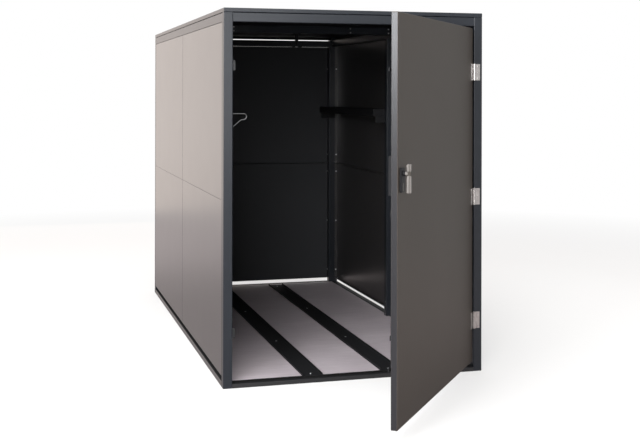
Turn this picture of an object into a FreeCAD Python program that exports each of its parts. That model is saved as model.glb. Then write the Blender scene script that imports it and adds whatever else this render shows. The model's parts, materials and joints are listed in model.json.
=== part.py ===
import FreeCAD, Part
import os
import re
import Sketcher
from FreeCAD import Placement, Rotation, Vector

# A bicycle locker: a sheet-metal box on a frame of square tubes, with a floor, two wheel rails,
# a roof tray and one tall door with a turning handle and two lock rods.
# Millimetres. The origin is the middle of the footprint, on the ground.
# X runs to the right, Y runs into the locker from the door, and Z is up.

os.makedirs("parts", exist_ok=True)
doc = FreeCAD.newDocument("bicycle_locker")

DIMENSIONS = (
    ("width", 1320),
    ("depth", 2600),
    ("height", 1800),
    # Frame of square tubes
    ("post", 44),
    ("rear_post", 64),
    ("post_wall", 3),
    ("sill_height", 25),
    ("front_sill_height", 20),
    ("sill_wide", 28),
    ("shadow_gap", 2),
    ("rear_vent", 7),
    # Sheet-metal trays
    ("gauge", 1.5),
    ("tray", 20),
    ("lip", 12),
    ("vent", 25),
    ("panel_gap", 1),
    ("panel_seam", 886),
    ("spacer_inset", 1),
    # Floor, bearers and wheel rails
    ("plate", 6),
    ("front_joint", -472),
    ("rear_joint", 392),
    ("bearer_wide", 50),
    ("rail_wide", 100),
    ("rail_tall", 12),
    ("rail_spread", 200),
    ("rail_shift", 14),
    ("rail_short", 50),
    ("anchor_plate", 5),
    ("anchor_wide", 60),
    ("anchor_long", 80),
    ("anchor_inset", 28),
    ("anchor_back", 200),
    ("anchor_hole", 6.5),
    ("access_hole", 13),
    # Screws
    ("screw_head", 5),
    ("head_thick", 1.8),
    ("screw_shank", 2.5),
    ("hole_room", 0.1),
    ("mid_shank", 9),
    ("rail_end", 30),
    ("rail_end_up", 14),
    # Door, in its own frame round the hinge axis
    ("door_gap", 4),
    ("door_thick", 28),
    ("door_low", 50),
    ("door_high", 1724),
    ("open_angle", 52.5),
    ("rib_wide", 50),
    ("rib_inset", 12),
    # Hinges
    ("knuckle", 8),
    ("pin", 3.5),
    ("pin_fit", 0.05),
    ("pin_head", 2),
    ("leaf_wide", 33),
    ("leaf_thick", 2.5),
    ("leaf_tall", 82),
    ("knuckle_gap", 0.2),
    ("knuckle_room", 0.6),
    ("hinge_low", 258),
    ("hinge_mid", 879),
    ("hinge_high", 1503),
    ("screw_pitch", 30),
    ("screw_line", 21),
    # Handle and lock
    ("hub_back", 46),
    ("hub_height", 1075),
    ("spindle", 5),
    ("turn_fit", 0.05),
    ("neck", 8),
    ("neck_gap", 0.5),
    ("neck_root", 4),
    ("grip_wide", 21),
    ("grip_waist", 15),
    ("grip_flare", 17),
    ("grip_thick", 19),
    ("grip_off", 23),
    ("grip_up", 38),
    ("grip_down", 80),
    ("grip_round", 5),
    ("shield_wide", 48),
    ("shield_low", 999),
    ("shield_high", 1097),
    ("shield_thick", 8),
    ("collar", 11),
    ("collar_long", 9),
    ("lock_height", 1028),
    ("profile_round", 8.5),
    ("profile_stem", 5),
    ("profile_drop", 24.5),
    ("barrel_out", 0.5),
    ("barrel_in", 4),
    ("plug", 5.5),
    ("plug_out", 0.8),
    ("plug_long", 40),
    ("keyway", 1.4),
    ("keyway_tall", 8),
    ("keyway_deep", 20),
    ("case_wide", 56),
    ("case_low", 985),
    ("case_high", 1145),
    ("case_deep", 18),
    ("cam_round", 20),
    ("cam_thick", 4),
    ("cam_room", 3),
    ("crank", 11),
    ("crank_pin", 3),
    ("rod_offset", 13),
    ("rod_wide", 18),
    ("rod_thick", 6),
    ("rod_plane", 44.5),
    ("rod_end", 12),
    ("rod_jog", 16),
    ("jog_low", 40),
    ("jog_tall", 10),
    ("slot_near", 7),
    ("slot_far", 19.8),
    ("slot_half", 3.7),
    ("finger_tall", 14),
    ("finger_end", 1222),
    ("guide_tall", 20),
    ("guide_side", 6),
    ("guide_back", 2),
    ("guide_room", 0.5),
    ("keeper_thick", 5),
    ("keeper_out", 18),
    ("keeper_back", 30.5),
    ("keeper_tall", 48),
    ("keeper_low", 230),
    ("keeper_high", 1504),
    ("keeper_room", 4),
    # Shelf, wall hook and ceiling hook
    ("shelf_deep", 117),
    ("shelf_low", 1254),
    ("shelf_tall", 43),
    ("shelf_gap", 1),
    ("bracket_long", 104),
    ("bracket_leg", 40),
    ("bracket_thick", 3),
    ("wire", 2.8),
    ("hook_height", 1283),
    ("hook_round", 14),
    ("hook_middle", -553),
    ("hook_foot", 1216),
    ("hook_knee", 2),
    ("hook_plane", 9),
    ("hook_gap", 2),
    ("hook_block", 20),
    ("hook_block_deep", 14),
    ("hook_margin", 8),
    ("ceiling_middle", 28),
    ("ceiling_rod", 3),
    ("ceiling_stem", 4),
    ("ceiling_boss", 10),
    ("ceiling_boss_low", 1704),
    ("ceiling_round", 19),
    ("ceiling_low", 1670),
    ("ceiling_arm", 5),
    ("ceiling_plate", 44),
    ("ceiling_plate_deep", 30),
    ("ceiling_plate_thick", 4),
)
SIZES = dict(DIMENSIONS)

sheet = doc.addObject("Spreadsheet::Sheet", "dims")
for row, (alias, size) in enumerate(DIMENSIONS, start=1):
    sheet.set("A%d" % row, alias)
    sheet.set("B%d" % row, str(size))
    sheet.setAlias("B%d" % row, alias)
doc.recompute()

X_AXIS = Vector(1, 0, 0)
Y_AXIS = Vector(0, 1, 0)
Z_AXIS = Vector(0, 0, 1)

# Rotations that turn a cylinder's own +Z to point along a named direction
POINTING = {
    "+x": Rotation(Y_AXIS, 90),
    "-x": Rotation(Y_AXIS, -90),
    "+y": Rotation(X_AXIS, -90),
    "-y": Rotation(X_AXIS, 90),
    "+z": Rotation(),
    "-z": Rotation(X_AXIS, 180),
}
# Rotations that lay a tube drawn along +Z along another axis
LAID = {
    "x": Rotation(Y_AXIS, Z_AXIS, X_AXIS, "ZXY"),
    "y": Rotation(Z_AXIS, X_AXIS, Y_AXIS, "ZXY"),
    "z": Rotation(),
}
# Which two sides of a piece are the section of a tube that runs along an axis
SECTION = {"x": ("y", "z"), "y": ("z", "x"), "z": ("x", "y")}
# Any turn will do where an expression sets the angle afterwards; only its axis is kept
UPRIGHT_TURN = Rotation(Z_AXIS, 45)

# Heights and faces that several pieces share, as expressions on the sheet
FRONT = "(-depth / 2)"
BACK = "(depth / 2)"
SIDE = "(width / 2)"
WALL_IN = "(width / 2 - tray)"
POST_IN = "(width / 2 - post)"
REAR_IN = "(width / 2 - rear_post)"
FRONT_IN = "(-depth / 2 + post)"
BACK_IN = "(depth / 2 - post)"
FLOOR_START = "(-depth / 2 + sill_wide)"
POST_TOP = "(height - tray - shadow_gap)"
RAIL_LOW = "(height - tray - shadow_gap - post)"
REAR_TOP = "(height - tray - rear_vent)"
BEAM_LOW = "(height - gauge - post)"
PANEL_LOW = "(sill_height + vent)"
HINGE_X = "(width / 2 - post - door_gap / 2)"
HINGE_Y = "(-depth / 2 - knuckle)"
HINGES = ("hinge_low", "hinge_mid", "hinge_high")
SIDES = ("left", "right")
ENDS = ("front", "rear")

# The door's own frame has its origin on the hinge axis. Its X runs along the door towards the
# post, so the door lies at negative X, and its Y runs from the outer face to the inner one.
DOOR_RIGHT = "(-door_gap / 2)"
DOOR_LEFT = "(-width + 2 * post + 3 * door_gap / 2)"
DOOR_IN = "(knuckle + door_thick)"
HUB = "(-width + 2 * post + 3 * door_gap / 2 + hub_back)"
SHIELD_OUT = "(knuckle - shield_thick)"
UPPER_ROD = "(%s + rod_offset)" % HUB
LOWER_FOOT = "(%s - rod_offset)" % HUB
LOWER_ROD = "(%s - rod_offset + rod_jog)" % HUB

# Heights of the screws in the feet of the mid posts, and in pairs on the cross beam
MID_POST_SCREWS = (34, 110)
BEAM_SCREWS = (1764, 1788)
BEAM_SCREW_X = (361, 606)
# Heights of the screws in the flanges of the panels
LOWER_ROW = (110, 468, 826)
UPPER_ROW = (948, 1258, 1570)
# Depths of the screws along each wheel rail, by floor plate
RAIL_SCREWS = {"front": (-1230, -505), "middle": (330,), "rear": (1150,)}
# Heights of the rod guides' lower edges, and where the door's three channels stand
GUIDES = {"upper": (1190, 1400), "lower": (400, 900)}
RIBS = (0.28, 0.56, 0.84)

subparts = []


def bound(text):
    """Give every word of an expression that is an alias the name of the sheet."""
    def named(word):
        return "dims." + word.group() if word.group() in SIZES else word.group()
    return re.sub("[a-z_]+", named, str(text))


def keep(piece, label):
    """Make an object one of the sub-parts, under the name of its node."""
    piece.Label = label
    subparts.append(piece)
    return piece


def around(middle, wide):
    """A low and a high expression on both sides of a middle."""
    return "(%s) - (%s) / 2" % (middle, wide), "(%s) + (%s) / 2" % (middle, wide)


def grown(pair, room):
    """A low and a high expression moved apart by some room at each end."""
    return "(%s) - (%s)" % (pair[0], room), "(%s) + (%s)" % (pair[1], room)


def box(name, x, y, z):
    """A block between a low and a high expression along each axis."""
    block = doc.addObject("Part::Box", name)
    for axis, side, (low, high) in zip("xyz", ("Length", "Width", "Height"), (x, y, z)):
        block.setExpression(side, bound("(%s) - (%s)" % (high, low)))
        block.setExpression("Placement.Base." + axis, bound(low))
    return block


def rod(name, radius, length, foot, pointing):
    """A cylinder that starts at a point and runs in a named direction."""
    bar = doc.addObject("Part::Cylinder", name)
    bar.setExpression("Radius", bound(radius))
    bar.setExpression("Height", bound(length))
    bar.Placement = Placement(Vector(), POINTING[pointing])
    for axis, place in zip("xyz", foot):
        bar.setExpression("Placement.Base." + axis, bound(place))
    return bar


def group(name, pieces):
    """Separate solids that are one node."""
    whole = doc.addObject("Part::Compound", name)
    whole.Links = pieces
    return whole


def join(name, pieces):
    """Overlapping pieces fused into one solid."""
    whole = doc.addObject("Part::MultiFuse", name)
    whole.Shapes = pieces
    whole.Refine = True
    return whole


def cut(name, base, tools):
    """A piece with one or more others taken out of it."""
    result = doc.addObject("Part::Cut", name)
    result.Base = base
    result.Tool = tools[0] if len(tools) == 1 else group(name + "_tools", tools)
    return result


def opposite(pointing):
    """The named direction the other way."""
    return {"+": "-", "-": "+"}[pointing[0]] + pointing[1]


def screw(name, seat, out, grip):
    """A pan-head screw: its head stands on the seat, its shank runs the other way."""
    head = rod(name + "_head", "screw_head", "head_thick", seat, out)
    shank = rod(name + "_shank", "screw_shank", grip, seat, opposite(out))
    return join(name, [head, shank])


def screw_hole(name, seat, out, grip):
    """The hole that a screw's shank passes through."""
    return rod(name, "screw_shank + hole_room", grip, seat, opposite(out))


def screws_at(name, seats, out, grip):
    """A screw at each seat."""
    return [screw("%s_%d" % (name, k), seat, out, grip) for k, seat in enumerate(seats)]


def holes_at(name, seats, out, grip):
    """A screw's hole at each seat."""
    return [screw_hole("%s_%d" % (name, k), seat, out, grip) for k, seat in enumerate(seats)]


def plane(body, role):
    """An origin plane of a body, by its role."""
    return [item for item in body.Origin.OriginFeatures if item.Role == role][0]


def sketch_on(body, role, name):
    """A sketch on one of the body's own origin planes."""
    sketch = body.newObject("Sketcher::SketchObject", name)
    sketch.AttachmentSupport = [(plane(body, role), "")]
    sketch.MapMode = "FlatFace"
    return sketch


def fix(sketch, kind, line, point, text):
    """Hold one point of a sketch at an expression from the origin, along X or Y."""
    axis = {"DistanceX": -2, "DistanceY": -1}[kind]
    if text == "0":
        sketch.addConstraint(Sketcher.Constraint("PointOnObject", line, point, axis))
        return
    place = sketch.addConstraint(Sketcher.Constraint(kind, -1, 1, line, point, 1.0))
    sketch.setExpression("Constraints[%d]" % place, bound(text))


def circle_on(sketch, radius, first, x="0", y="0"):
    """A circle in a sketch, held at a point, with a radius from the sheet."""
    sketch.addGeometry(Part.Circle(first, Z_AXIS, SIZES[radius]), False)
    fix(sketch, "DistanceX", 0, 3, x)
    fix(sketch, "DistanceY", 0, 3, y)
    place = sketch.addConstraint(Sketcher.Constraint("Radius", 0, float(SIZES[radius])))
    sketch.setExpression("Constraints[%d]" % place, bound(radius))


def rectangle(sketch, left, low, right, high):
    """A rectangle whose four sides stand at expressions from the sketch's origin."""
    first = sketch.GeometryCount
    corners = [Vector(1, 1, 0), Vector(2, 1, 0), Vector(2, 2, 0), Vector(1, 2, 0)]
    for k in range(4):
        sketch.addGeometry(Part.LineSegment(corners[k], corners[(k + 1) % 4]), False)
    for k in range(4):
        sketch.addConstraint(Sketcher.Constraint("Coincident", first + k, 2, first + (k + 1) % 4, 1))
    for k in (0, 2):
        sketch.addConstraint(Sketcher.Constraint("Horizontal", first + k))
        sketch.addConstraint(Sketcher.Constraint("Vertical", first + k + 1))
    fix(sketch, "DistanceX", first, 1, left)
    fix(sketch, "DistanceY", first, 1, low)
    fix(sketch, "DistanceX", first + 2, 1, right)
    fix(sketch, "DistanceY", first + 2, 1, high)


def tube(label, along, x, y, z):
    """A rectangular tube between expressions, open at both ends, as a padded ring."""
    span = {"x": x, "y": y, "z": z}
    size = {axis: "((%s) - (%s))" % (high, low) for axis, (low, high) in span.items()}
    across, up = SECTION[along]
    body = doc.addObject("PartDesign::Body", label)
    ring = sketch_on(body, "XY_Plane", label + "_section")
    rectangle(ring, "0", "0", size[across], size[up])
    rectangle(ring, "post_wall", "post_wall", size[across] + " - post_wall", size[up] + " - post_wall")
    pad = body.newObject("PartDesign::Pad", label + "_pad")
    pad.Profile = ring
    pad.setExpression("Length", bound(size[along]))
    body.Tip = pad
    body.Placement = Placement(Vector(), LAID[along])
    for axis, (low, high) in span.items():
        body.setExpression("Placement.Base." + axis, bound(low))
    return body


def tray(name, x, y, z, open_side):
    """A folded sheet tray: one flat face and four flanges, open on a named side."""
    inner = {"x": list(x), "y": list(y), "z": list(z)}
    for pair in inner.values():
        pair[0] = "(%s) + gauge" % pair[0]
        pair[1] = "(%s) - gauge" % pair[1]
    end = {"-": 0, "+": 1}[open_side[0]]
    whole = {"x": x, "y": y, "z": z}[open_side[1]]
    inner[open_side[1]][end] = "(%s) %s gauge" % (whole[end], open_side[0])
    outer = box(name + "_blank", x, y, z)
    hollow = box(name + "_hollow", inner["x"], inner["y"], inner["z"])
    return cut(name, outer, [hollow])


def mirrored(side, low, high):
    """A pair along X on the right side, or the same pair mirrored to the left."""
    if side == "right":
        return low, high
    return "-(%s)" % high, "-(%s)" % low


def on_side(side, x):
    """A place along X on the right side, or mirrored to the left."""
    return x if side == "right" else "-" + x


def inward(side):
    """The direction from a side wall into the locker."""
    return "-x" if side == "right" else "+x"


def hang(piece):
    """Place a piece that is drawn in the door's frame with the door standing open."""
    piece.Placement = Placement(Vector(), UPRIGHT_TURN)
    piece.setExpression("Placement.Base.x", bound(HINGE_X))
    piece.setExpression("Placement.Base.y", bound(HINGE_Y))
    piece.setExpression("Placement.Rotation.Angle", bound("open_angle * 1 deg"))
    return piece


def hinge_screw_seats(side, hinge):
    """Where the three screws of one hinge leaf sit: on the post or on the door."""
    x = HINGE_X + " + screw_line" if side == "post" else "-screw_line"
    y = FRONT + " - leaf_thick" if side == "post" else "knuckle - leaf_thick"
    return [(x, y, "%s %s screw_pitch" % (hinge, step)) for step in ("- 1 *", "+ 0 *", "+ 1 *")]


def mid_post_seats(side):
    """Seats of the screws on the inner face of a mid post, at its foot."""
    return [(on_side(side, REAR_IN), "0", str(height)) for height in MID_POST_SCREWS]


def rail_end_seats(side):
    """Seats of the screws on the inner face of a top rail, near its two ends."""
    x = on_side(side, POST_IN)
    z = RAIL_LOW + " + rail_end_up"
    return [(x, FRONT_IN + " + rail_end", z), (x, BACK_IN + " - rail_end", z)]


def beam_seats():
    """Seats of the screw pairs on the front of the cross beam."""
    return [(str(sign * x), "-post / 2", str(height))
            for x in BEAM_SCREW_X for sign in (-1, 1) for height in BEAM_SCREWS]


def wall_seats(side, end, rows):
    """Seats of the screws that hold the side panels' flanges to the corner posts."""
    y = FRONT_IN + " + gauge" if end == "front" else BACK_IN + " - gauge"
    return [(on_side(side, "(%s - tray / 2)" % SIDE), y, str(height)) for height in rows]


def wall_out(end):
    """The way the heads of the side panels' screws point."""
    return "+y" if end == "front" else "-y"


def rear_seats(side, rows):
    """Seats of the screws that hold the rear panels' flanges to the rear posts."""
    return [(on_side(side, "(%s - gauge)" % REAR_IN), BACK + " - tray / 2", str(height)) for height in rows]


def posts():
    """Four corner posts and two mid posts."""
    rows = LOWER_ROW + UPPER_ROW
    through = "gauge + post_wall + 1"
    for side in SIDES:
        x = mirrored(side, POST_IN, SIDE)
        front = tube("front_%s_tube" % side, "z", x, (FRONT, FRONT_IN), ("0", POST_TOP))
        holes = holes_at("post_front_" + side, wall_seats(side, "front", rows), "+y", through)
        if side == "right":
            for hinge in HINGES:
                seats = hinge_screw_seats("post", hinge)
                holes += holes_at("post_" + hinge, seats, "-y", "leaf_thick + post_wall + 1")
        keep(cut("corner_post_front_%s_solid" % side, front, holes), "corner_post_front_" + side)
        x = mirrored(side, REAR_IN, SIDE)
        rear = tube("rear_%s_tube" % side, "z", x, (BACK_IN, BACK), ("0", POST_TOP))
        holes = holes_at("post_rear_" + side, wall_seats(side, "rear", rows), "-y", through)
        holes += holes_at("post_back_" + side, rear_seats(side, rows), inward(side), through)
        keep(cut("corner_post_rear_%s_solid" % side, rear, holes), "corner_post_rear_" + side)
        x = mirrored(side, REAR_IN, REAR_IN + " + post")
        mid = tube("mid_%s_tube" % side, "z", x, ("-post / 2", "post / 2"), ("sill_height", RAIL_LOW))
        holes = holes_at("mid_hole_" + side, mid_post_seats(side), inward(side), "post_wall + mid_shank")
        keep(cut("mid_post_%s_solid" % side, mid, holes), "mid_post_" + side)


def rails_and_beams():
    """The tubes that join the posts at the top, and the beam under the roof."""
    keep(tube("lintel_tube", "x", ("-" + POST_IN, POST_IN), (FRONT, FRONT_IN), (RAIL_LOW, POST_TOP)),
         "door_lintel")
    for side in SIDES:
        rail = tube("top_rail_%s_tube" % side, "y", mirrored(side, POST_IN, SIDE), (FRONT_IN, BACK_IN),
                    (RAIL_LOW, POST_TOP))
        holes = holes_at("top_rail_hole_" + side, rail_end_seats(side), inward(side), "post_wall + 1")
        keep(cut("top_rail_%s_solid" % side, rail, holes), "side_top_rail_" + side)
    keep(tube("rear_beam_tube", "x", ("-" + REAR_IN, REAR_IN), (BACK_IN, BACK),
              (REAR_TOP + " - post", REAR_TOP)), "rear_top_beam")
    beam = tube("cross_beam_tube", "x", ("-" + POST_IN, POST_IN), ("-post / 2", "post / 2"),
                (BEAM_LOW, "height - gauge"))
    holes = holes_at("beam_hole", beam_seats(), "-y", "post_wall + 1")
    keep(cut("cross_beam_solid", beam, holes), "roof_cross_beam")


def sills():
    """Low channels between the posts, open underneath; the front one lies lower than the floor."""
    low = ("0", "sill_height")
    keep(tray("front_sill_solid", ("-" + POST_IN, POST_IN), (FRONT, FLOOR_START), ("0", "front_sill_height"),
              "-z"), "front_sill")
    for side in SIDES:
        keep(tray("side_sill_%s_solid" % side, mirrored(side, POST_IN, SIDE), (FRONT_IN, BACK_IN), low, "-z"),
             "side_sill_" + side)
    keep(tray("rear_sill_solid", ("-" + REAR_IN, REAR_IN), (BACK_IN, BACK), low, "-z"), "rear_sill")


def anchor_spot(side, end):
    """The middle of one anchor hole."""
    y = "(%s - anchor_back)" % BACK
    return on_side(side, "(%s - anchor_inset)" % POST_IN), y if end == "rear" else "-" + y


def floor():
    """Bearers on the ground, anchor plates in the corners and three floor plates on top."""
    across = ("-" + POST_IN, POST_IN)
    under = ("0", "sill_height - plate")
    starts = (FLOOR_START, "front_joint - bearer_wide / 2", "rear_joint - bearer_wide / 2",
              BACK_IN + " - bearer_wide")
    bearers = [tray("bearer_%d" % k, across, (start, start + " + bearer_wide"), under, "-z")
               for k, start in enumerate(starts)]
    keep(group("bearers", bearers), "floor_bearers")
    anchors = []
    for side in SIDES:
        for end in ENDS:
            x, y = anchor_spot(side, end)
            name = "anchor_%s_%s" % (side, end)
            flat = box(name + "_flat", mirrored(side, POST_IN + " - anchor_wide", POST_IN),
                       around(y, "anchor_long"), ("0", "anchor_plate"))
            hole = rod(name + "_bore", "anchor_hole", "anchor_plate + 2", (x, y, "-1"), "+z")
            anchors.append(cut(name, flat, [hole]))
    keep(group("anchors", anchors), "anchor_plates")
    lines = (FLOOR_START, "front_joint", "rear_joint", BACK_IN)
    for k, name in enumerate(("front", "middle", "rear")):
        flat = box("floor_%s_flat" % name, across, (lines[k], lines[k + 1]),
                   ("sill_height - plate", "sill_height"))
        tools = holes_at("floor_%s_hole" % name, rail_screw_seats(SIDES, (name,)), "+z", "gauge + plate + 1")
        if name in ENDS:
            for side in SIDES:
                x, y = anchor_spot(side, name)
                tools.append(rod("access_%s_%s" % (name, side), "access_hole", "plate + 2",
                                 (x, y, "sill_height - plate - 1"), "+z"))
        keep(cut("floor_%s_solid" % name, flat, tools), "floor_plate_" + name)


def rail_middle(side):
    """The middle of a wheel rail along X; the pair sits a little left of the locker's middle."""
    return "(-rail_shift %s rail_spread)" % ("+" if side == "right" else "-")


def rail_screw_seats(sides, plates):
    """Seats of the screws in the wheel rails, over the named floor plates."""
    return [(rail_middle(side), str(depth), "sill_height + gauge")
            for side in sides for name in plates for depth in RAIL_SCREWS[name]]


def wheel_rails():
    """Two low channels on the floor that guide the wheels, open at both ends."""
    run = (FLOOR_START, BACK_IN + " - rail_short")
    plates = tuple(RAIL_SCREWS)
    for side in SIDES:
        name = "wheel_rail_" + side
        across = around(rail_middle(side), "rail_wide")
        blank = box(name + "_blank", across, run, ("sill_height", "sill_height + rail_tall"))
        inside = box(name + "_inside", grown(across, "-gauge"), grown(run, "1"),
                     ("sill_height + gauge", "sill_height + rail_tall + 1"))
        holes = holes_at(name + "_hole", rail_screw_seats((side,), plates), "+z", "gauge + 1")
        keep(cut(name + "_solid", blank, [inside] + holes), name)
    screws = screws_at("rail_screw", rail_screw_seats(SIDES, plates), "+z", "gauge + plate")
    keep(group("rail_screw_set", screws), "rail_screws")


def panels():
    """Eight side panels and two rear panels: folded trays with their flat faces outside."""
    heights = {"lower": LOWER_ROW, "upper": UPPER_ROW}
    lower = (PANEL_LOW, "panel_seam")
    upper = {"side": ("panel_seam", RAIL_LOW + " - panel_gap"),
             "rear": ("panel_seam", REAR_TOP + " - post - panel_gap")}
    runs = {"front": (FRONT_IN, "-panel_gap"), "rear": ("panel_gap", BACK_IN)}
    for side in SIDES:
        x = mirrored(side, WALL_IN, SIDE)
        for end in ENDS:
            for row, rows in heights.items():
                name = "%s_%s_%s" % (side, end, row)
                folded = tray("panel_%s_tray" % name, x, runs[end], lower if row == "lower" else upper["side"],
                              inward(side)[0] + "x")
                seats = wall_seats(side, end, rows)
                holes = holes_at("panel_%s_hole" % name, seats, wall_out(end), "gauge + 1")
                keep(cut("panel_%s_solid" % name, folded, holes), "side_panel_" + name)
    for row, rows in heights.items():
        folded = tray("rear_panel_%s_tray" % row, ("-" + REAR_IN, REAR_IN), (BACK + " - tray", BACK),
                      lower if row == "lower" else upper["rear"], "-y")
        holes = []
        for side in SIDES:
            name = "rear_panel_%s_%s_hole" % (row, side)
            holes += holes_at(name, rear_seats(side, rows), inward(side), "gauge + 1")
        keep(cut("rear_panel_%s_solid" % row, folded, holes), "rear_panel_" + row)


def frame_screws():
    """The screws of the panels' flanges, the mid posts' feet, the top rails and the cross beam."""
    rows = LOWER_ROW + UPPER_ROW
    screws = screws_at("beam_screw", beam_seats(), "-y", "post_wall")
    for side in SIDES:
        for end in ENDS:
            seats = wall_seats(side, end, rows)
            screws += screws_at("wall_screw_%s_%s" % (side, end), seats, wall_out(end), "gauge + post_wall")
        screws += screws_at("rear_screw_" + side, rear_seats(side, rows), inward(side), "gauge + post_wall")
        screws += screws_at("mid_screw_" + side, mid_post_seats(side), inward(side), "mid_shank")
        screws += screws_at("rail_end_screw_" + side, rail_end_seats(side), inward(side), "post_wall")
    keep(group("frame_screw_set", screws), "frame_screws")


def roof():
    """The roof tray with its turned-in lip, on four spacers that keep it off the posts."""
    across = ("-" + SIDE, SIDE)
    along = (FRONT, BACK)
    whole = tray("roof_tray", across, along, ("height - tray", "height"), "-z")
    skirt = box("roof_skirt", across, along, ("height - tray", "height - tray + gauge"))
    mouth = box("roof_mouth", grown(across, "-lip"), grown(along, "-lip"),
                ("height - tray - 1", "height - tray + gauge + 1"))
    keep(join("roof_solid", [whole, cut("roof_lip", skirt, [mouth])]), "roof_sheet")
    spacers = []
    for side in SIDES:
        inner = POST_IN + " + spacer_inset"
        for end in ENDS:
            name = "spacer_%s_%s" % (side, end)
            near = FRONT_IN + " - spacer_inset"
            spans = [(FRONT + " + spacer_inset", near), (FRONT + " + lip + spacer_inset", near)]
            if end == "rear":
                spans = [("-(%s)" % high, "-(%s)" % low) for low, high in spans]
            pad = box(name + "_pad", mirrored(side, inner, SIDE + " - spacer_inset"), spans[0],
                      (POST_TOP, "height - tray"))
            block = box(name + "_block", mirrored(side, inner, SIDE + " - lip - spacer_inset"), spans[1],
                        (POST_TOP, "height - gauge"))
            spacers.append(join(name, [pad, block]))
    keep(group("spacers", spacers), "roof_spacers")


def shelf():
    """A folded shelf along the right wall, on two angle brackets."""
    run = ("post / 2 + shelf_gap", BACK_IN + " - shelf_gap")
    keep(tray("shelf_solid", (WALL_IN + " - shelf_deep", WALL_IN), run,
              ("shelf_low", "shelf_low + shelf_tall"), "+z"), "wall_shelf")
    across = (WALL_IN + " - bracket_long", WALL_IN)
    places = {"front": (("post / 2", "post / 2 + bracket_leg"), ("post / 2", "post / 2 + bracket_thick")),
              "rear": ((BACK_IN + " - bracket_leg", BACK_IN), (BACK_IN + " - bracket_thick", BACK_IN))}
    brackets = []
    for end, (reach, upright) in places.items():
        flat = box("bracket_%s_flat" % end, across, reach, ("shelf_low - bracket_thick", "shelf_low"))
        back = box("bracket_%s_back" % end, across, upright, ("shelf_low - bracket_leg", "shelf_low"))
        brackets.append(join("bracket_" + end, [flat, back]))
    keep(group("brackets", brackets), "shelf_brackets")


def wire_hook():
    """A bent wire loop on a block behind the front left post."""
    across = mirrored("left", POST_IN + " + hook_gap", POST_IN + " + hook_gap + hook_block")
    block = box("hook_block_solid", across, (FRONT_IN, FRONT_IN + " + hook_block_deep"),
                ("hook_foot - hook_margin", "hook_height + hook_round + hook_margin"))
    body = doc.addObject("PartDesign::Body", "hook_wire")
    path = sketch_on(body, "XZ_Plane", "hook_path")
    turn = SIZES["hook_round"]
    block_left = -SIZES["width"] / 2 + SIZES["post"] - SIZES["hook_gap"] - SIZES["hook_block"] / 2
    left = block_left - SIZES["hook_middle"]
    start = Vector(left, turn, 0)
    over = Vector(0, turn, 0)
    under = Vector(0, -turn, 0)
    knee = Vector(-turn, -turn - SIZES["hook_knee"], 0)
    foot = Vector(left, SIZES["hook_foot"] - SIZES["hook_height"], 0)
    path.addGeometry(Part.LineSegment(start, over), False)
    path.addGeometry(Part.Arc(over, Vector(turn, 0, 0), under), False)
    path.addGeometry(Part.LineSegment(under, knee), False)
    path.addGeometry(Part.LineSegment(knee, foot), False)
    # The arc runs from its lower end to its upper one, so its end point meets the first line
    for k, (first, second) in enumerate(((2, 2), (1, 1), (2, 1))):
        path.addConstraint(Sketcher.Constraint("Coincident", k, first, k + 1, second))
    path.addConstraint(Sketcher.Constraint("Horizontal", 0))
    path.addConstraint(Sketcher.Constraint("Coincident", 1, 3, -1, 1))
    block_middle = "-%s - hook_gap - hook_block / 2 - hook_middle" % POST_IN
    fix(path, "DistanceX", 0, 1, block_middle)
    fix(path, "DistanceY", 0, 1, "hook_round")
    fix(path, "DistanceX", 0, 2, "0")
    fix(path, "DistanceX", 2, 1, "0")
    fix(path, "DistanceX", 2, 2, "-hook_round")
    fix(path, "DistanceY", 2, 2, "-hook_round - hook_knee")
    fix(path, "DistanceX", 3, 2, block_middle)
    fix(path, "DistanceY", 3, 2, "hook_foot - hook_height")
    doc.recompute()
    section = sketch_on(body, "YZ_Plane", "hook_section")
    circle_on(section, "wire", Vector(0, turn, 0), "0", "hook_round")
    section.setExpression("AttachmentOffset.Base.z", bound(block_middle))
    doc.recompute()
    pipe = body.newObject("PartDesign::AdditivePipe", "hook_pipe")
    pipe.Profile = section
    pipe.Spine = (path, ["Edge1", "Edge2", "Edge3", "Edge4"])
    pipe.Transition = "Right corner"
    body.Tip = pipe
    body.setExpression("Placement.Base.x", bound("hook_middle"))
    body.setExpression("Placement.Base.y", bound(FRONT_IN + " + hook_plane"))
    body.setExpression("Placement.Base.z", bound("hook_height"))
    keep(join("hook_solid", [block, body]), "wire_hook")


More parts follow.
